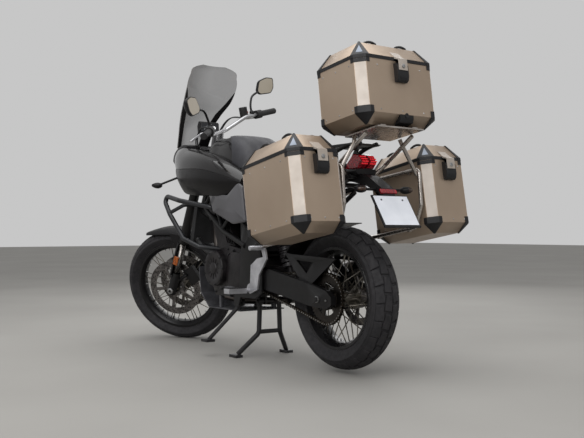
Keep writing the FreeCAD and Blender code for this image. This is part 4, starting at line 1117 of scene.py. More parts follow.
def shell_skins():
    """Both side shells: above the crease in gloss, below it in satin.

    At each station one arc runs from the upper edge to the crease and one from there to
    the lower edge; each swells outwards by a share of its chord.
    """
    rows = np.array(SHELL_ROWS, float)[::-1]
    x = np.linspace(rows[0, 0], rows[-1, 0], 48)
    y_in, y_top, z_top, y_mid, z_mid, y_low, z_low = through(rows[:, 0], rows[:, 1:], x).T
    top, mid, low = (np.stack(pair, axis=-1) for pair in ((y_top, z_top), (y_mid, z_mid), (y_low, z_low)))
    inner = [np.stack([y_in, z], axis=-1)[:, None] for z in (z_top - 6, z_mid, z_low)]
    upper = np.concatenate([inner[0], arc_between(top, mid, 0.16, 12), inner[1]], axis=1)
    lower = np.concatenate([inner[1], arc_between(mid, low, 0.10, 10), inner[2]], axis=1)
    for name, loops, finish in (("shells_upper", upper, "gloss_shell"), ("shells_lower", lower, "satin_shroud")):
        loops = np.concatenate([np.broadcast_to(x[:, None, None], loops.shape[:2] + (1,)), loops], axis=-1)
        parts = [closed_tube(from_neck(loops * (1, way, 1))) for way in (1, -1)]
        piece = trim(name, parts, finish, "shrouds", 40.0)
        rounded(piece, 3.0 * MM, 3, 50.0)
    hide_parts("shrouds")


def tank_skins():
    """Tank, the textured cover on its back with a pointed front, and the filler cap."""
    tank = closed_tube(from_neck(shoulder_loops(TANK_ROWS, 40, 3.0)))
    piece = trim("tank_skin", [tank], "gloss_shell", "fuel_tank", 50.0)
    rounded(piece, 6.0 * MM, 3, 50.0)
    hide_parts("fuel_tank")
    grown = [(x, z0, w0, z1, w1 + 4.5, z2 + 4.5, w2 + 3) for x, z0, w0, z1, w1, z2, w2 in TANK_ROWS]
    outer = closed_tube(from_neck(shoulder_loops(grown, 40, 3.0)))
    tip = from_neck((-120, 0, 0)) / MM
    floor = from_neck((0, 0, -120)) / MM
    arrow = [(tip, (170, 300, 0)), (tip, (170, -300, 0)), (floor, (0, 0, -1))]
    cover = trim("tank_cover_skin", [kept(outer, arrow)], "cover", "tank_cover", 40.0)
    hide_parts("tank_cover")
    ring = turned([(44, 0), (44, 5), (40, 7), (26, 7), (24, 4)], 40)
    trim("filler_cap", [copied(ring, [stood(from_neck((-215, 0, 55)), FILLER_AXIS)])], "cast_grey", "tank_cover")
    spots = [stood(from_neck((-215 + 34 * math.cos(turn), 34 * math.sin(turn), 62)), FILLER_AXIS)
             for turn in np.arange(6) * math.pi / 3]
    trim("filler_screws", [copied(screw(3.2), spots)], "bolt", "tank_cover")


def slab(front, back):
    """Closed sheet between two grids of points of one shape."""
    rows, columns = front.shape[:2]
    count = rows * columns
    index = np.arange(count).reshape(rows, columns)
    edge = np.concatenate([index[0, :-1], index[:-1, -1], index[-1, :0:-1], index[:0:-1, 0]])
    after = np.roll(edge, -1)
    walls = np.stack([edge, after, after + count, edge + count], axis=-1)
    faces = grid_faces(rows, columns)
    return np.concatenate([front.reshape(-1, 3), back.reshape(-1, 3)]), [faces, faces + count, walls]


def screen_skin():
    """Screen: edge line, half width and camber follow smooth curves of height.

    Across the screen the camber falls with the square of the distance from the middle,
    from all of it there to none at the edges.
    """
    rows = np.array(SCREEN_ROWS, float)
    z = np.concatenate([np.linspace(40, 466, 40), [471, 476, 479.5, 481]])
    edge, half, camber = through(rows[:, 1], rows[:, [0, 2, 3]], z).T[:, :, None]
    u = np.linspace(-1, 1, 29)[None, :]
    grid = np.stack([edge + camber * (1 - u ** 2), half * u, np.broadcast_to(z[:, None], (len(z), 29))], axis=-1)
    front, back = from_neck(grid), from_neck(grid - (4, 0, 0))
    piece = trim("screen_skin", [slab(front, back)], "smoked", "windscreen", 40.0)
    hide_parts("windscreen")
    blades = []
    rows = [row[:3] for row in (SCREEN_ROWS[0],) + tuple(SCREEN_ROWS[2:6])]
    for way in (1, -1):
        loops = []
        for (x, height, wide), width in zip(rows, (26, 32, 36, 26, 4)):
            back, front, slant = x - 9, x - 4.5, width * 0.35
            loops.append([(back, wide - 2, height), (front, wide - 2, height),
                          (front + slant, wide - width, height), (back + slant, wide - width, height)])
        blades.append(closed_tube(from_neck(np.array(loops) * (1, way, 1))))
    rounded(trim("screen_blades", blades, "plastic", "dash"), 1.5 * MM)
    spots = [stood(from_neck((x + 3, way * y, z)), (1, way * 0.25, 0.1)) for way in (1, -1)
             for x, y, z in ((176, 112, 236), (112, 130, 292))]
    trim("screen_screws", [copied(screw(5.5), spots)], "bolt_black", "windscreen")


def nose_skin():
    """Nose, and on it the two headlamps: bowls just proud of it, glass over the bowls."""
    nose = closed_tube(from_neck(shoulder_loops(NOSE_ROWS, 34, 4.0)))
    piece = trim("nose_shell", [nose], "plastic", "nose_fairing", 40.0)
    rounded(piece, 3.0 * MM)
    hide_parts("nose_fairing")
    for name, grow, finish, inset in (("headlamp_bowls", 0.8, "bowl", 6),
                                      ("headlamp_glass", 3.0, "clear_lens", 0)):
        rows = [(x + grow * 0.4, z0 - grow, w0 + grow, z1, w1 + grow, z2 + grow, w2 + grow)
                for x, z0, w0, z1, w1, z2, w2 in NOSE_ROWS]
        outer = closed_tube(from_neck(shoulder_loops(rows, 34, 4.0)))
        low = from_neck((250 + inset, 12 + inset, -48 + inset)) / MM
        high = from_neck((380, 94 - inset, 4 - inset)) / MM
        parts = []
        for way in (1, -1):
            near, far = low * (1, way, 1), high * (1, way, 1)
            planes = [(near, (-1, 0, 0)), (near, (0, -way, 0)), (near, (0, 0, -1)),
                      (far, (0, way, 0)), (far, (0, 0, 1))]
            parts.append(kept(outer, planes))
        lamp = trim(name, parts, finish, "headlamps", 40.0)
    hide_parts("headlamps")


# Rows of shoulder_loops, measured from the rear axle's foot
RIDER_ROWS = [
    (560.6, 800, 76, 862, 98, 900, 60), (500, 796, 90, 838, 112, 868, 82), (410, 796, 104, 830, 128, 852, 100),
    (330, 800, 110, 838, 136, 866, 104),
]
PILLION_ROWS = [
    (329.4, 800, 110, 880, 130, 925, 95), (200, 832, 104, 894, 128, 938, 96), (60, 862, 95, 905, 120, 940, 90),
    (-30, 880, 80, 905, 100, 925, 70),
]


def seats():
    """Two foam cushions with a slight crown, piping along the edge and a seam across."""
    for name, rows in (("rider_cushion", RIDER_ROWS), ("pillion_cushion", PILLION_ROWS)):
        loops = shoulder_loops(rows, 36, 5.0)
        piece = trim(name, [closed_tube(from_axle(loops))], "vinyl", "seat", 50.0)
        rounded(piece, 14.0 * MM, 5, 50.0)
        ends = loops[1:-1]
        lines = [from_axle(ends[:, column]) for column in (5, len(loops[0]) - 6)]
        cross = [from_axle(loops[row, 6:-6] + (0, 0, 0.4)) for row in (12, 24)]
        trim(name + "_piping", [swept(line, 0.0028, 8, (0.1, 1.0, 0.2)) for line in lines]
             + [swept(line, 0.0018, 6, (1.0, 0.05, 0.1)) for line in cross], "piping", "seat")
    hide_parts("seat")


# Tail


# Upper edge of the plate's back from the rear axle's foot, and its lean in degrees
PLATE_TOP = (-300.0, 0.0, 778.0)
PLATE_LEAN = 33.0


def plate_place():
    """Matrix for pieces drawn with their width on X, their back at Y = 0 and their top at Z = 0."""
    lean = math.radians(PLATE_LEAN)
    across, back, up = (0, 1, 0), (-math.cos(lean), 0, math.sin(lean)), (math.sin(lean), 0, math.cos(lean))
    made = moved(from_axle(PLATE_TOP))
    made[:3, 0], made[:3, 1], made[:3, 2] = across, back, up
    return made


# Rows of shoulder_loops, then outlines in the side view
TAIL_ROWS = [(-30, 852, 60, 875, 92, 898, 70), (-100, 866, 56, 884, 80, 902, 62),
             (-150, 878, 46, 890, 60, 902, 44)]
PLATE_HANGER = [(-60, 856), (-138, 884), (-196, 868), (-288, 812), (-306, 760), (-300, 746), (-272, 790),
                (-180, 830)]
CARRIER_ARM = [(70, 912), (84, 912), (20, 1006), (-12, 1008)]
CARRIER_PLATE = [(20, 1000), (-150, 1004), (-168, 1010), (-150, 1014), (20, 1014), (34, 1006)]
LAMP_SHELL = [(-60, 903), (-150, 903), (-168, 930), (-150, 962), (-112, 968), (-72, 930)]
LAMP_LENS = [(-100, 908), (-152, 908), (-171, 930), (-153, 958), (-116, 963)]
# Columns: x, z, how far the row's lights lean back from level
LAMP_LIGHTS = [(-154, 914, -0.4), (-168, 924, -0.4), (-173, 934, 0.45), (-166, 945, 0.45), (-155, 955, 0.45)]


def tail():
    """Cowl with the plate's hanger, blank plate, carrier under the top case, and reflector."""
    skin = closed_tube(from_axle(shoulder_loops(TAIL_ROWS, 16, 2.0)))
    hanger = at_axle(cross_prism(PLATE_HANGER, -34, 34))
    place = [plate_place()]
    backing = copied(joined([block(-102, 102, -7, -0.3, -152, 6), block(-102, 102, -7, 3, -155, -149)]), place)
    piece = trim("tail_cowl", [skin, hanger, backing], "plastic", "tail_unit")
    rounded(piece, 2.0 * MM)
    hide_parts("tail_unit")
    plate = trim("plate_blank", [copied(block(-95, 95, 0, 2.4, -145, 0), place)], "plate_white", "number_plate")
    rounded(plate, 0.8 * MM)
    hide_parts("number_plate")
    rails = []
    for way in (1, -1):
        points = [(96, way * 66, 902), (40, way * 72, 944), (-20, way * 70, 980),
                  (-120, way * 58, 1008), (-168, way * 44, 1010)]
        rails.append(swept(route(from_axle(points)), 0.010, 12))
        rails.append(at_axle(cross_prism(CARRIER_ARM, way * 78, way * 84)))
    rails.append(at_axle(cross_prism(CARRIER_PLATE, -74, 74)))
    rounded(trim("carrier_plate_and_arms", rails, "frame", "luggage_rack"), 2.0 * MM)
    spots = [place[0] @ stood((x * MM, 2.4 * MM, -0.02), (0, 1, 0)) for x in (-60, 60)]
    trim("plate_screws", [copied(screw(4.0), spots)], "bolt_black", "number_plate")
    reflector = trim("rear_reflector", [copied(block(-46, 46, 0, 8, 12, 34), place)], "reflector", "tail_lamp")
    rounded(reflector, 2.5 * MM)


def tail_lamp():
    """Two halves of the tail lamp: red shell, prism lens and rows of lights."""
    shells, lenses, lights = [], [], []
    for way in (1, -1):
        shells.append(at_axle(cross_prism(LAMP_SHELL, way * 3, way * 46)))
        lenses.append(at_axle(cross_prism(LAMP_LENS, way * 5, way * 43)))
        for x, z, lean in LAMP_LIGHTS:
            spots = [stood(from_axle((x, way * y, z)), (-1, 0, lean)) for y in (11, 20, 29, 38)]
            lights.append(copied(dome(3.9, 2.0, 8), spots))
    piece = trim("lamp_shells", shells, "red_lens", "tail_lamp")
    rounded(piece, 6.0 * MM, 3)
    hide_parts("tail_lamp")
    rounded(trim("lamp_lenses", lenses, "reflector", "tail_lamp"), 4.0 * MM, 3)
    trim("lamp_lights", lights, "red_led", "tail_lamp")


def pod(at):
    """Oval turn signal lying across the machine, as rings of half width, half height."""
    y = np.linspace(-26, 30, 16)
    rows = through([-26, -16, 14, 30], [(8, 6), (22, 13), (26, 14), (12, 8)], y)
    angle = np.linspace(0, 2 * math.pi, 24, endpoint=False)
    grid = np.stack([rows[:, :1] * np.cos(angle), np.broadcast_to(y[:, None], (16, 24)),
                     rows[:, 1:] * np.sin(angle)], axis=-1)
    return closed_tube(at + grid * MM)


def turn_signals():
    """Oval signals on bent stems at the tail and beside the nose, each with a lens that stands out of it."""
    stems, pods, lenses = [], [], []
    rear_end, front_end = from_axle((-262, 128, 808)), from_neck((180, 276, -186))
    for start, end in ((from_axle((-250, 32, 808)), rear_end), (from_neck((126, 176, -140)), front_end)):
        for way in (1, -1):
            flip = (1, way, 1)
            line = route([start * flip, (start + end) / 2 * flip, end * flip])
            stems.append(swept(line, 0.006, 10))
            body = pod(end)
            pods.append((body[0] * flip, body[1]))
            ahead = np.sign(end[0] - REAR_AXLE[0])
            shrunk = (body[0] - end) * (0.8, 0.86, 0.8) + end + (ahead * 0.007, 0.0015, 0)
            lenses.append((shrunk * flip, body[1]))
    piece = trim("signal_stems", stems + pods, "plastic", "indicators", 50.0)
    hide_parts("indicators")
    trim("signal_lenses", lenses, "smoked_amber", "indicators", 50.0)


# Mirrors, built for the steering straight ahead


# Outline of a glass: across, up
MIRROR_OUTLINE = [(-78, -24), (-58, -44), (36, -50), (66, -22), (74, 34), (20, 46), (-48, 34)]
# Degrees that the bars stand turned to the left
STEERED = 36.4


def steered():
    """Matrix that turns pieces drawn straight ahead, in millimetres from the neck, with the bars."""
    axis = STEER_AXIS * math.copysign(1, STEER_AXIS[2])
    turn = Matrix.Rotation(math.radians(STEERED), 4, Vector(axis))
    about = Matrix.Translation(Vector(HEAD))
    return np.array(about @ turn @ about.inverted())


def with_bars(parts):
    """Parts drawn straight ahead, turned as the bars stand."""
    return [copied(part, [steered()]) for part in parts]


def rounded_outline(outline, cut, count=5):
    """Outline with each corner eased into a curve that starts and ends a cut away."""
    outline = np.asarray(outline, float)
    before, after = np.roll(outline, 1, axis=0), np.roll(outline, -1, axis=0)
    start, end = outline + unit(before - outline) * cut, outline + unit(after - outline) * cut
    t = np.linspace(0, 1, count)[None, :, None]
    curve = (1 - t) ** 2 * start[:, None] + 2 * t * (1 - t) * outline[:, None] + t ** 2 * end[:, None]
    return curve.reshape(-1, 2)


def mirror_pieces():
    """Dished housings on bent stems, with the glasses let into their rear faces."""
    outline = rounded_outline(MIRROR_OUTLINE, 14.0)
    dishes, glasses = [], []
    for way, inward in ((1, -4.0), (-1, -22.0)):
        turn = math.radians(-way * inward)
        ball = np.array((-140, way * 424, 280.0))
        spin = np.array([(math.cos(turn), -math.sin(turn), 0), (math.sin(turn), math.cos(turn), 0), (0, 0, 1)])

        def skin(steps):
            """Skin over the outline at several depths, shrunk by a share at each."""
            rings = [np.column_stack([np.full(len(outline), depth), 46 + outline[:, 0] * share,
                                      18 + outline[:, 1] * share]) for depth, share in steps]
            return closed_tube(from_neck((np.array(rings) * (1, way, 1)) @ spin.T + ball))

        dishes.append(skin(((0, 0.94), (0, 1.0), (8, 1.02), (20, 0.9), (30, 0.66), (34, 0.36))))
        glasses.append(skin(((-1.5, 0.9), (0.5, 0.9))))
        foot = np.array((-122, way * 281, 159.0))
        stem = [foot, foot + (4, way * 6, 40), foot + (2, way * 30, 84), ball + (12, -way * 6, -4),
                ball + (14, way * 34, 12)]
        dishes.append(swept(from_neck(route(stem, 6.0)), 0.0062, 12))
        boot = turned([(11, -6), (13, 0), (13, 14), (8, 20)], 20)
        dishes.append(copied(boot, [stood(from_neck(foot), (0.05, way * 0.1, 1))]))
    piece = trim("mirror_dishes", with_bars(dishes), "plastic", "mirrors", 40.0)
    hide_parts("mirrors")
    trim("mirror_glasses", with_bars(glasses), "mirror", "mirrors")


# Front end


# The steering head's lean, the way up along it, and the way ahead square to it
RAKE = math.radians(25.5)
FORK_UP = np.array((-math.sin(RAKE), 0, math.cos(RAKE)))
FORK_AHEAD = np.array((math.cos(RAKE), 0, math.sin(RAKE)))


def on_fork(forward, across, up):
    """Points from the foot of the steering head: forward of the axis, across, and along it, in millimetres."""
    shape = np.broadcast_shapes(np.shape(forward), np.shape(across), np.shape(up))
    forward, across, up = (np.broadcast_to(np.asarray(v, float), shape)[..., None] for v in (forward, across, up))
    return HEAD + (FORK_AHEAD * forward + SIDE * across + FORK_UP * up) * MM


def front_end():
    """Guards ahead of the bright tubes, reflectors, axle nuts and clamp bolts."""
    guards, reflectors, bolts = [], [], []
    angle, level = np.meshgrid(np.radians(np.linspace(-42, 58, 13)), np.linspace(78, 296, 12))
    leg_cap = turned([(26, -2), (26, 6), (20, 12), (8, 12), (7, 6)], 24)
    for way in (1, -1):
        shells = []
        for radius in (35.0, 32.0):
            ease = radius - 5 * np.clip((level - 250) / 46, 0, 1) ** 2
            shells.append(on_fork(35 + ease * np.cos(angle), way * (100 + ease * np.sin(angle)), level))
        guards.append(slab(shells[0], shells[1]))
        box = [on_fork(42 + u, way * 136, 168 + v) for u, v in ((-14, 0), (14, 0), (14, 52), (-14, 52))]
        reflectors.append(closed_tube(np.stack([np.array(box), np.array(box) + SIDE * way * -0.006])))
        for up, out in ((842, 30), (640, 32), (622, 32)):
            for forward in (12, 58):
                spot = on_fork(forward, way * (100 + out) * 0.99, up)
                bolts.append(copied(screw(4.5, 4), [stood(spot, (0.02, way, 0))]))
        bolts.append(copied(leg_cap, [stood(on_fork(35, way * 100, 858), FORK_UP)]))
    rounded(trim("fork_guards", with_bars(guards), "plastic", "fork_feet", 40.0), 1.2 * MM)
    rounded(trim("fork_reflectors", with_bars(reflectors), "amber", "fork_feet"), 2.0 * MM)
    trim("clamp_bolts", with_bars(bolts), "bolt_black", "fork_outers")
    nut = turned([(19, 0), (19, 8), (15, 11), (9, 11), (8, 4)], 6)
    spots = [stood(FRONT_AXLE + FRONT_SPIN * way * 0.124, FRONT_SPIN * way) for way in (1, -1)]
    trim("front_axle_nuts", [copied(nut, spots)], "bolt", "fork_feet")


WHEELBASE = 1487.0
# Reach of the guard's outer and inner skin from the axle
FENDER_REACHES = (349.0, 345.0)


def fender():
    """Arched guard close over the tyre: narrow at its tip, arched across, with two side stays.

    Its reach from the axle grows at the front with the square of the angle below 84
    degrees, and falls across the guard with the fourth power of the distance from the middle.
    """
    axle = from_axle((WHEELBASE, 0, 0)) + (0, 0, 0.3233)
    angle = np.linspace(66, 152, 40)
    widths = [(30, 8), (50, 16), (66, 24), (66, 24), (52, 16)]
    half, droop = through([66, 76, 98, 125, 152], widths, angle).T[:, :, None]
    u = np.linspace(-1, 1, 19)[None, :]
    turn = np.radians(angle)[:, None]
    skins = []
    for radius in FENDER_REACHES:
        reach = radius + 0.03 * np.clip(84 - angle, 0, None)[:, None] ** 2 - droop * u ** 4 * 1.3
        skins.append(np.stack([reach * np.cos(turn), half * u, reach * np.sin(turn)], axis=-1) * MM + axle)
    parts = [slab(skins[0], skins[1])]
    for way in (1, -1):
        outline = [(reach * math.cos(math.radians(degrees)), way * 66, reach * math.sin(math.radians(degrees)))
                   for reach, degrees in ((330, 96), (330, 118), (270, 121), (252, 114), (252, 108), (270, 100))]
        low = np.array(outline) * MM + axle
        parts.append(closed_tube(np.stack([low, low + SIDE * way * 0.006])))
    piece = trim("fender_skin", with_bars(parts), "plastic", "front_fender", 40.0)
    rounded(piece, 1.2 * MM)
    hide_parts("front_fender")


def instruments():
    """Dash housing on its bracket, with a dark display and pale scale marks."""
    housing = at_neck(cross_prism([(84, 112), (112, 104), (120, 150), (104, 178), (88, 172)], -62, 62))
    bracket = at_neck(cross_prism([(108, 108), (118, 108), (168, 44), (156, 40)], -30, 30))
    piece = trim("dash_housing", [housing, bracket], "plastic", "dash")
    rounded(piece, 5.0 * MM, 3)
    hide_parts("dash")
    face = closed_tube(from_neck(np.array([[(83, -54, 118), (83, 54, 118), (86.6, 54, 168), (86.6, -54, 168)],
                                           [(82, -53, 119), (82, 53, 119), (85.6, 53, 167), (85.6, -53, 167)]])))
    trim("dash_display", [face], "display_and_slot_shade", "dash")
    marks = []
    for index in range(13):
        lean = math.radians(200 - index * 18)
        spot = np.array((83.6, -math.cos(lean) * 34, 132 + math.sin(lean) * 22))
        loop = spot + np.array([(0, -0.9, -2.6), (0, 0.9, -2.6), (0, 0.9, 2.6), (0, -0.9, 2.6)])
        marks.append(closed_tube(from_neck(np.stack([loop, loop - (1.4, 0, 0)]))))
    trim("dash_marks", marks, "dial_mark", "dash")


# Running gear


def hole_shade_plugs(name, node, hub, axis, levels, radii):
    """Dark plugs of painted shade in the drillings right through a disc, in curved rows."""
    holes = []
    for low, high in levels:
        hole = turned([(3.6, low), (3.6, high)], 8)
        holes += [around(hole, radius, 24, 0.0, 0.09 * row) for row, radius in enumerate(radii)]
    trim(name, [copied(part, [stood(hub, axis)]) for part in holes], "hole_shade", node)


SPOKES_A_ROW = 18


def wheel_details():
    """Painted shade in the disc drillings, and on both wheels spoke nipples, valve, hub bolts and a bright line on
    the rim.
    """
    hole_shade_plugs("front_disc_hole_shade", "front_discs", FRONT_AXLE, FRONT_SPIN,
                  ((61.6, 67.4), (-67.4, -61.6)), (129, 137, 145, 153))
    hole_shade_plugs("rear_disc_hole_shade", "rear_disc", REAR_AXLE, SIDE, ((-98.4, -92.6),), (103, 111, 119, 125))
    nipple = copied(turned([(3.6, 0), (3.6, 7), (2.4, 12)], 8), [stood((0, 0, 0), (-1, 0, 0))])
    stem = turned([(4, 0), (4, 30), (3, 34)], 10)
    for end, hub, axis, flange in (("front", FRONT_AXLE, FRONT_SPIN, 70), ("rear", REAR_AXLE, SIDE, 104)):
        place = [stood(hub, axis)]
        bead, width = TYRE_SIZES[end][3:]
        small = [around(nipple, bead - 16, SPOKES_A_ROW, level, math.pi / SPOKES_A_ROW * (level > 0))
                 for level in (-9, 9)]
        small.append(copied(stem, [stood(np.array((bead - 17, 0, 0)) * MM, (-1, 0, 0.3))]))
        trim(end + "_nipples", [copied(part, place) for part in small], "bolt", end + "_rim")
        trim(end + "_hub_bolts", [copied(around(screw(5.0, 3.0), 42, 6, flange), place)], "bolt", end + "_hub")
        lip = [copied(ring_line(bead + 12, way * (width / 2 - 3), 0.0016), place) for way in (1, -1)]
        trim(end + "_rim_line", lip, "bolt", end + "_rim")


# Reach of the chain's line round both sprockets, place of the front one, length of a link
PITCH_REAR, PITCH_FRONT = 112.0, 38.0
PINION = np.array((530.0, 385.0))
LINK = 15.9
CHAIN_Y = 100.0
SPROCKET_TEETH = 44


def chain_row():
    """Chain as two kinds of link plates and rollers, spaced along the belt line round both sprockets.

    The line is a straight, an arc round the pinion, a straight back and an arc round the
    sprocket; each link stands at its distance along it, turned to its direction.
    """
    rear = np.array((0.0, REAR_AXLE[2] / MM))
    gap = PINION - rear
    reach = np.linalg.norm(gap)
    slope = math.atan2(gap[1], gap[0])
    lean = math.asin((PITCH_REAR - PITCH_FRONT) / reach)
    high, low = slope + math.pi / 2 - lean, slope - math.pi / 2 + lean
    run = reach * math.cos(lean)
    lengths = np.array([run, PITCH_FRONT * (high - low), run, PITCH_REAR * (2 * math.pi - high + low)])
    starts = np.concatenate([[0], np.cumsum(lengths)])
    count = 2 * round(starts[-1] / LINK / 2)

    def spot(distance):
        """Points on the closed line, at distances along it."""
        part = np.clip(np.searchsorted(starts, distance, side="right") - 1, 0, 3)
        share = (distance - starts[part]) / lengths[part]
        angle = np.choose(part, [high, high + (low - high) * share, low, low - (2 * math.pi - high + low) * share])
        out = np.stack([np.cos(angle), np.sin(angle)], axis=-1)
        top = rear + out * PITCH_REAR + (PINION - rear + out * (PITCH_FRONT - PITCH_REAR)) * share[:, None]
        back = PINION + out * PITCH_FRONT + (rear - PINION + out * (PITCH_REAR - PITCH_FRONT)) * share[:, None]
        around_front, around_rear = PINION + out * PITCH_FRONT, rear + out * PITCH_REAR
        return np.choose(part[:, None], [top, around_front, back, around_rear])

    distance = np.arange(count) * starts[-1] / count
    here, there = spot(distance), spot((distance + starts[-1] / count) % starts[-1])
    middle, along = (here + there) / 2, unit(there - here)
    places = np.zeros((count, 4, 4))
    places[:, 0, 0], places[:, 2, 0] = along[:, 0], along[:, 1]
    places[:, 1, 1] = places[:, 3, 3] = 1
    places[:, 0, 2], places[:, 2, 2] = -along[:, 1], along[:, 0]
    places[:, :3, 3] = from_axle(np.column_stack([middle[:, 0], np.full(count, CHAIN_Y), middle[:, 1]]))
    t = np.linspace(0, 2 * math.pi, 16, endpoint=False)
    outline = np.column_stack([np.cos(t) * 11.5 + np.cos(3 * t) * 1.2, np.sin(t) * 6.4 - np.sin(3 * t) * 0.9])
    plates = []
    for kind, (y0, y1) in enumerate(((6.0, 8.0), (3.8, 5.6))):
        both_sides = joined([cross_prism(outline, way * y0, way * y1) for way in (1, -1)])
        plates.append(copied(both_sides, places[kind::2]))
    joint_place = [stood((-LINK / 2 * MM, 0, 0), (0, 1, 0))]
    roller = copied(turned([(4.6, -5), (4.6, 5)], 10), joint_place)
    pin = copied(turned([(2.6, -8.8), (2.6, 8.8)], 8), joint_place)
    piece = trim("chain_links", plates + [copied(roller, places)], "chain", "chain", 40.0)
    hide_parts("chain")
    trim("chain_pins", [copied(pin, places)], "bolt", "chain", 40.0)


def sprocket_teeth():
    """Toothed ring round the sprocket: the outer edge rises and falls as a clipped wave."""
    turn = np.linspace(0, 2 * math.pi, SPROCKET_TEETH * 6, endpoint=False)
    edge = 107.5 + 7.0 * np.clip(0.5 + 0.75 * np.cos(turn * SPROCKET_TEETH), 0, 1)
    inner = np.full(len(turn), 98.0)
    rings = [np.stack([radius * np.cos(turn), radius * np.sin(turn), np.full(len(turn), z)], axis=-1) * MM
             for radius, z in ((inner, -2.6), (edge, -2.6), (edge, 2.6), (inner, 2.6))]
    skin = np.array(rings).reshape(-1, 3), [grid_faces(4, len(turn), True, True)]
    place = [stood(REAR_AXLE + (0, CHAIN_Y * MM, 0), SIDE)]
    trim("sprocket_teeth", [copied(skin, place)], "sprocket", "rear_sprocket")


def cover_trim(x, z, y, way, radius, bolts):
    """Raised ring, boss and rim bolts of a round engine cover."""
    place = [stood(from_axle((x, y, z)), (0, way, 0))]
    face = turned([(radius - 4, -1), (radius - 8, 3), (radius * 0.66, 4), (radius * 0.6, 1.6),
                   (radius * 0.34, 1.6), (radius * 0.3, 6), (radius * 0.2, 7)], 48)
    ribs = around(block(-radius * 0.13, radius * 0.13, -2, 2, 0, 4), radius * 0.47, 12)
    heads = around(screw(5.0, 4.0), radius - 7, bolts, 1.0)
    return copied(joined([face, ribs]), place), copied(heads, place)


# Columns: x, z, y, side, radius, number of bolts
ROUND_COVERS = [(850, 440, 172, 1, 92, 9), (790, 420, -178, -1, 105, 11),
                (530, 385, 152, 1, 56, 5), (690, 470, -140, -1, 34, 4)]
# Columns: outline in the side view, distance from the middle plane, height of the cover
RAISED_COVERS = [
    ([(606, 330), (640, 312), (724, 308), (760, 340), (766, 416), (742, 508), (700, 528), (622, 520)], 140, 12),
    ([(824, 742), (884, 722), (948, 703), (968, 745), (946, 790), (902, 800), (856, 804)], 125, 9),
]
CASTING_BOLTS = [(620, 318), (700, 312), (880, 316), (900, 500), (760, 540), (640, 520)]
COOLANT_PIPES = [[(950, 92, 700), (1010, 104, 720), (1070, 110, 742), (1104, 112, 735)],
                 [(890, 96, 520), (980, 120, 520), (1060, 122, 560), (1114, 118, 600)]]


def raised_cover(outline, level, height, way):
    """Stepped cover over an outline, with a bolt boss outside each of its corners."""
    outline = np.array(outline, float)
    middle = outline.mean(axis=0)
    small = middle + (outline - middle) * 0.9
    steps = ((outline, level - 2), (outline, level + height - 4), (small, level + height),
             (small * 0.55 + middle * 0.45, level + height + 2))
    reach = np.linalg.norm(outline - middle, axis=1)[:, None]
    boss = turned([(8, -height), (8, height - 5), (5, height - 5), (5, height), (3, height)], 10)
    bosses = [on_side(boss, x, way * level, z, way) for x, z in middle + (outline - middle) * (reach + 4) / reach]
    return at_axle(side_plate(steps, way)), bosses


def engine_details():
    """Round and raised covers, cylinder ribs, bolts, coolant pipes and their clips."""
    faces, heads = [], []
    for row in ROUND_COVERS:
        face, bolts = cover_trim(*row)
        faces.append(face)
        heads.append(bolts)
    for way in (1, -1):
        for index in range(5):
            x, z = 730 + index * 17, 560 + index * 3
            rib = [(x, z), (x + 4, z), (x + 66, 700), (x + 62, 700)]
            faces.append(at_axle(cross_prism(rib, way * 114, way * 121)))
        heads += [on_side(screw(5.5, 4), x, way * 140, z, way) for x, z in CASTING_BOLTS]
    for way in (1, -1):
        for row in RAISED_COVERS:
            face, bosses = raised_cover(*row, way)
            faces.append(face)
            heads += bosses
    rounded(trim("engine_cover_faces", faces, "cast_black", "engine", 35.0), 0.8 * MM)
    trim("engine_bolts", heads, "bolt_black", "engine")
    lines = [route(from_axle(points)) for points in COOLANT_PIPES]
    trim("coolant_pipes", [swept(line, 0.014, 14) for line in lines], "cable", "engine", 50.0)
    clips = [copied(turned([(15.4, -4), (15.4, 4)], 20), [stood(line[index], line[index + 1] - line[index - 1])])
             for line in lines for index in (3, len(line) - 5)]
    trim("pipe_clips", clips, "bolt", "engine")


SPRING_TURNS = 7
SPRING_RADIUS = 0.034


def small_parts():
    """Silencer end, footpeg rubbers, shock spring, red switch, axle nuts and chain adjusters."""
    tip = turned([(24, -8), (26, 0), (26, 14), (22, 14), (21, 2), (10, 0)], 28)
    place = [stood(from_axle((18, -215, 476)), (-0.98, 0, 0.2))]
    trim("silencer_end", [copied(tip, place)], "bolt_black", "exhaust")
    rubbers = []
    for way in (1, -1):
        for index in range(7):
            y = way * (210 + index * 13)
            rubbers.append(at_axle(block(494, 538, min(y, y + way * 7), max(y, y + way * 7), 355, 360)))
    trim("footpeg_rubbers", rubbers, "grip", "footpegs")
    t = np.linspace(0, 1, 160)
    start, end = from_axle((392, 0, 404.3)), from_axle((492, 0, 652))
    across = np.cross(unit(end - start), SIDE)
    turn = (t * SPRING_TURNS * 2 * math.pi)[:, None]
    coil = (start + (end - start) * (0.2 + 0.62 * t)[:, None]
            + SPRING_RADIUS * (across * np.cos(turn) + SIDE * np.sin(turn)))
    trim("shock_coil", [swept(coil, 0.0055, 8)], "spring", "rear_shock", 60.0)
    switch = copied(block(-14, 14, -10, 10, -6, 6), [steered() @ stood(from_neck((-92, -262, 172)), (0.2, 0, 1))])
    trim("red_switch", [switch], "switch_red", "hand_controls")
    nut = turned([(15, 0), (15, 6), (11, 8), (6, 8)], 6)
    nuts = [on_side(part, x, way * 153, z, way) for way in (1, -1)
            for part, x, z in ((nut, 0, REAR_AXLE[2] / MM), (screw(4.5, 4), -60, 330))]
    trim("axle_nut_and_adjusters", nuts, "bolt", "swingarm")


# Outlines in the side view, from the rear axle's foot
PANEL_OUTLINE = [(825, 822), (732, 816), (640, 811), (548, 866), (516, 848), (482, 676), (596, 666), (785, 729)]
PANEL_SLOT = [(693, 746), (663, 768), (655, 750), (685, 728)]


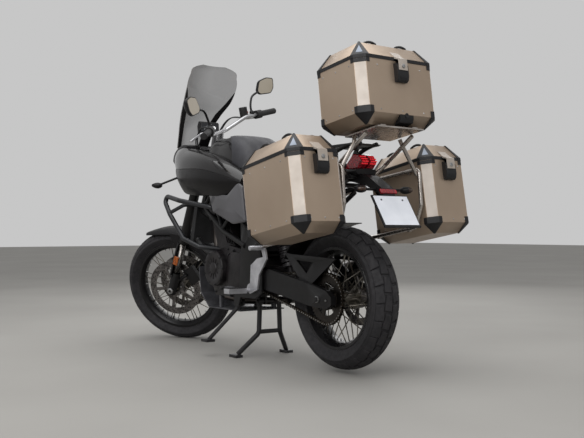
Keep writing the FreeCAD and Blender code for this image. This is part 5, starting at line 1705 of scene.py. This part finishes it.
def side_covers():
    """Silver covers under the seat, bent along a crease, with a dark plug of painted shade in the slot."""
    outline = rounded_outline(PANEL_OUTLINE, 10.0)
    middle = outline.mean(axis=0)
    steps = [(outline, 204), (outline, 214), (middle + (outline - middle) * 0.94, 220),
             (middle + (outline - middle) * 0.4, 224)]
    covers = [at_axle(side_plate(steps, way)) for way in (1, -1)]
    # A dark plug in each slot: painted shade in place of the opening
    shaded_slots = [at_axle(cross_prism(rounded_outline(PANEL_SLOT, 3.0), way * 212, way * 221.6)) for way in (1, -1)]
    piece = trim("side_panel_covers", covers, "silver_panel", "side_panels", 30.0)
    rounded(piece, 1.5 * MM)
    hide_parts("side_panels")
    trim("side_panel_slot_shade", shaded_slots, "display_and_slot_shade", "side_panels")


# Columns: name, side, how far it lies inside its neighbour, radius
HANDLEBAR_LINES = [("clutch_cable", 1, 0, 0.0038), ("switch_lead_left", 1, 9, 0.0032),
                   ("brake_line", -1, 0, 0.0038), ("throttle_cable", -1, 9, 0.0032)]


def pedals_and_lines():
    """Gear lever and brake pedal with rubber tips, and the four lines from the handlebar."""
    bars, tips = [], []
    for way in (1, -1):
        points = [(548, way * 170, 330), (600, way * 182, 344), (664, way * 190, 352), (712, way * 192, 346)]
        bars.append(swept(route(from_axle(points)), 0.0055, 10))
        tips.append(on_side(turned([(6, -4), (9, -2), (9, 26), (6, 28)], 14), 712, way * 188, 346, way))
    trim("gear_and_brake_pedals", bars, "cast_grey", "footpegs", 50.0)
    trim("pedal_rubbers", tips, "grip", "footpegs", 50.0)
    turn = steered()
    for name, way, step, radius in HANDLEBAR_LINES:
        points = [(-106, way * (214 - step), 148), (-30, way * (196 - step * 2), 160), (34 + step, way * 150, 92),
                  (52 + step, way * 96, 8), (40 + step, way * 62, -70)]
        path = route(from_neck(points)) @ turn[:3, :3].T + turn[:3, 3]
        piece = trim(name, [swept(path, radius, 8)], "cable", "hand_controls", 50.0)


# Studio and camera


# Columns: name, place, aim, width, power
LAMPS = [("overhead", (-0.5, 0.5, 4.6), (0, 0, 0.6), 5.0, 160.0),
         ("camera_side", (-3.2, 4.2, 3.2), (0, 0, 0.8), 3.5, 120.0),
         ("far_side", (3.5, -3.5, 3.0), (0, 0, 0.8), 3.0, 60.0)]
SKY_STRENGTH = 0.75


def studio():
    """Pale floor, a pale sky that lights softly, and three large lamps."""
    bpy.ops.mesh.primitive_plane_add(size=FLOOR_SIZE, location=(0, 0, 0))
    floor = bpy.context.object
    floor.name = "studio_floor"
    made = Finish("studio_floor", FLOOR_COLOUR, 0.9)
    made.tint(made.spread(made.noise(0.8), 0.3, 0.7), FLOOR_SHADE, FLOOR_COLOUR)
    floor.data.materials.append(made.material)
    world = bpy.data.worlds.new("studio_sky")
    bpy.context.scene.world = world
    world.use_nodes = True
    sky = world.node_tree.nodes["Background"]
    sky.inputs["Color"].default_value = linear(SKY_COLOUR)
    sky.inputs["Strength"].default_value = SKY_STRENGTH
    for name, place, aim, size, power in LAMPS:
        lamp = bpy.data.lights.new(name, "AREA")
        lamp.size = size
        lamp.energy = power
        holder = bpy.data.objects.new(name, lamp)
        bpy.context.scene.collection.objects.link(holder)
        holder.location = place
        aim_at(holder, aim)


def aim_at(holder, target):
    """Turns an object so that its -Z points at the target."""
    way = Vector(target) - holder.location
    holder.rotation_euler = way.to_track_quat("-Z", "Y").to_euler()


def photo_camera():
    """Level camera at the photograph's place and lens, its horizon set by the shift."""
    data = bpy.data.cameras.new("photo_camera")
    data.lens = LENS_MM
    data.sensor_width = SENSOR_MM
    data.sensor_fit = "HORIZONTAL"
    data.shift_y = HORIZON_SHIFT
    camera = bpy.data.objects.new("photo_camera", data)
    bpy.context.scene.collection.objects.link(camera)
    camera.location = (REAR_AXLE[0] + EYE_FROM_AXLE[0], EYE_FROM_AXLE[1], EYE_FROM_AXLE[2])
    aim_at(camera, Vector(camera.location) + Vector(LOOKING + (0.0,)))
    bpy.context.scene.camera = camera


bpy.context.scene.view_settings.view_transform = "Standard"
photo_camera()
studio()
finish_nodes()
cases()
tyres()
shell_skins()
tank_skins()
nose_skin()
screen_skin()
seats()
tail()
tail_lamp()
turn_signals()
mirror_pieces()
front_end()
fender()
instruments()
wheel_details()
chain_row()
sprocket_teeth()
engine_details()
small_parts()
side_covers()
pedals_and_lines()
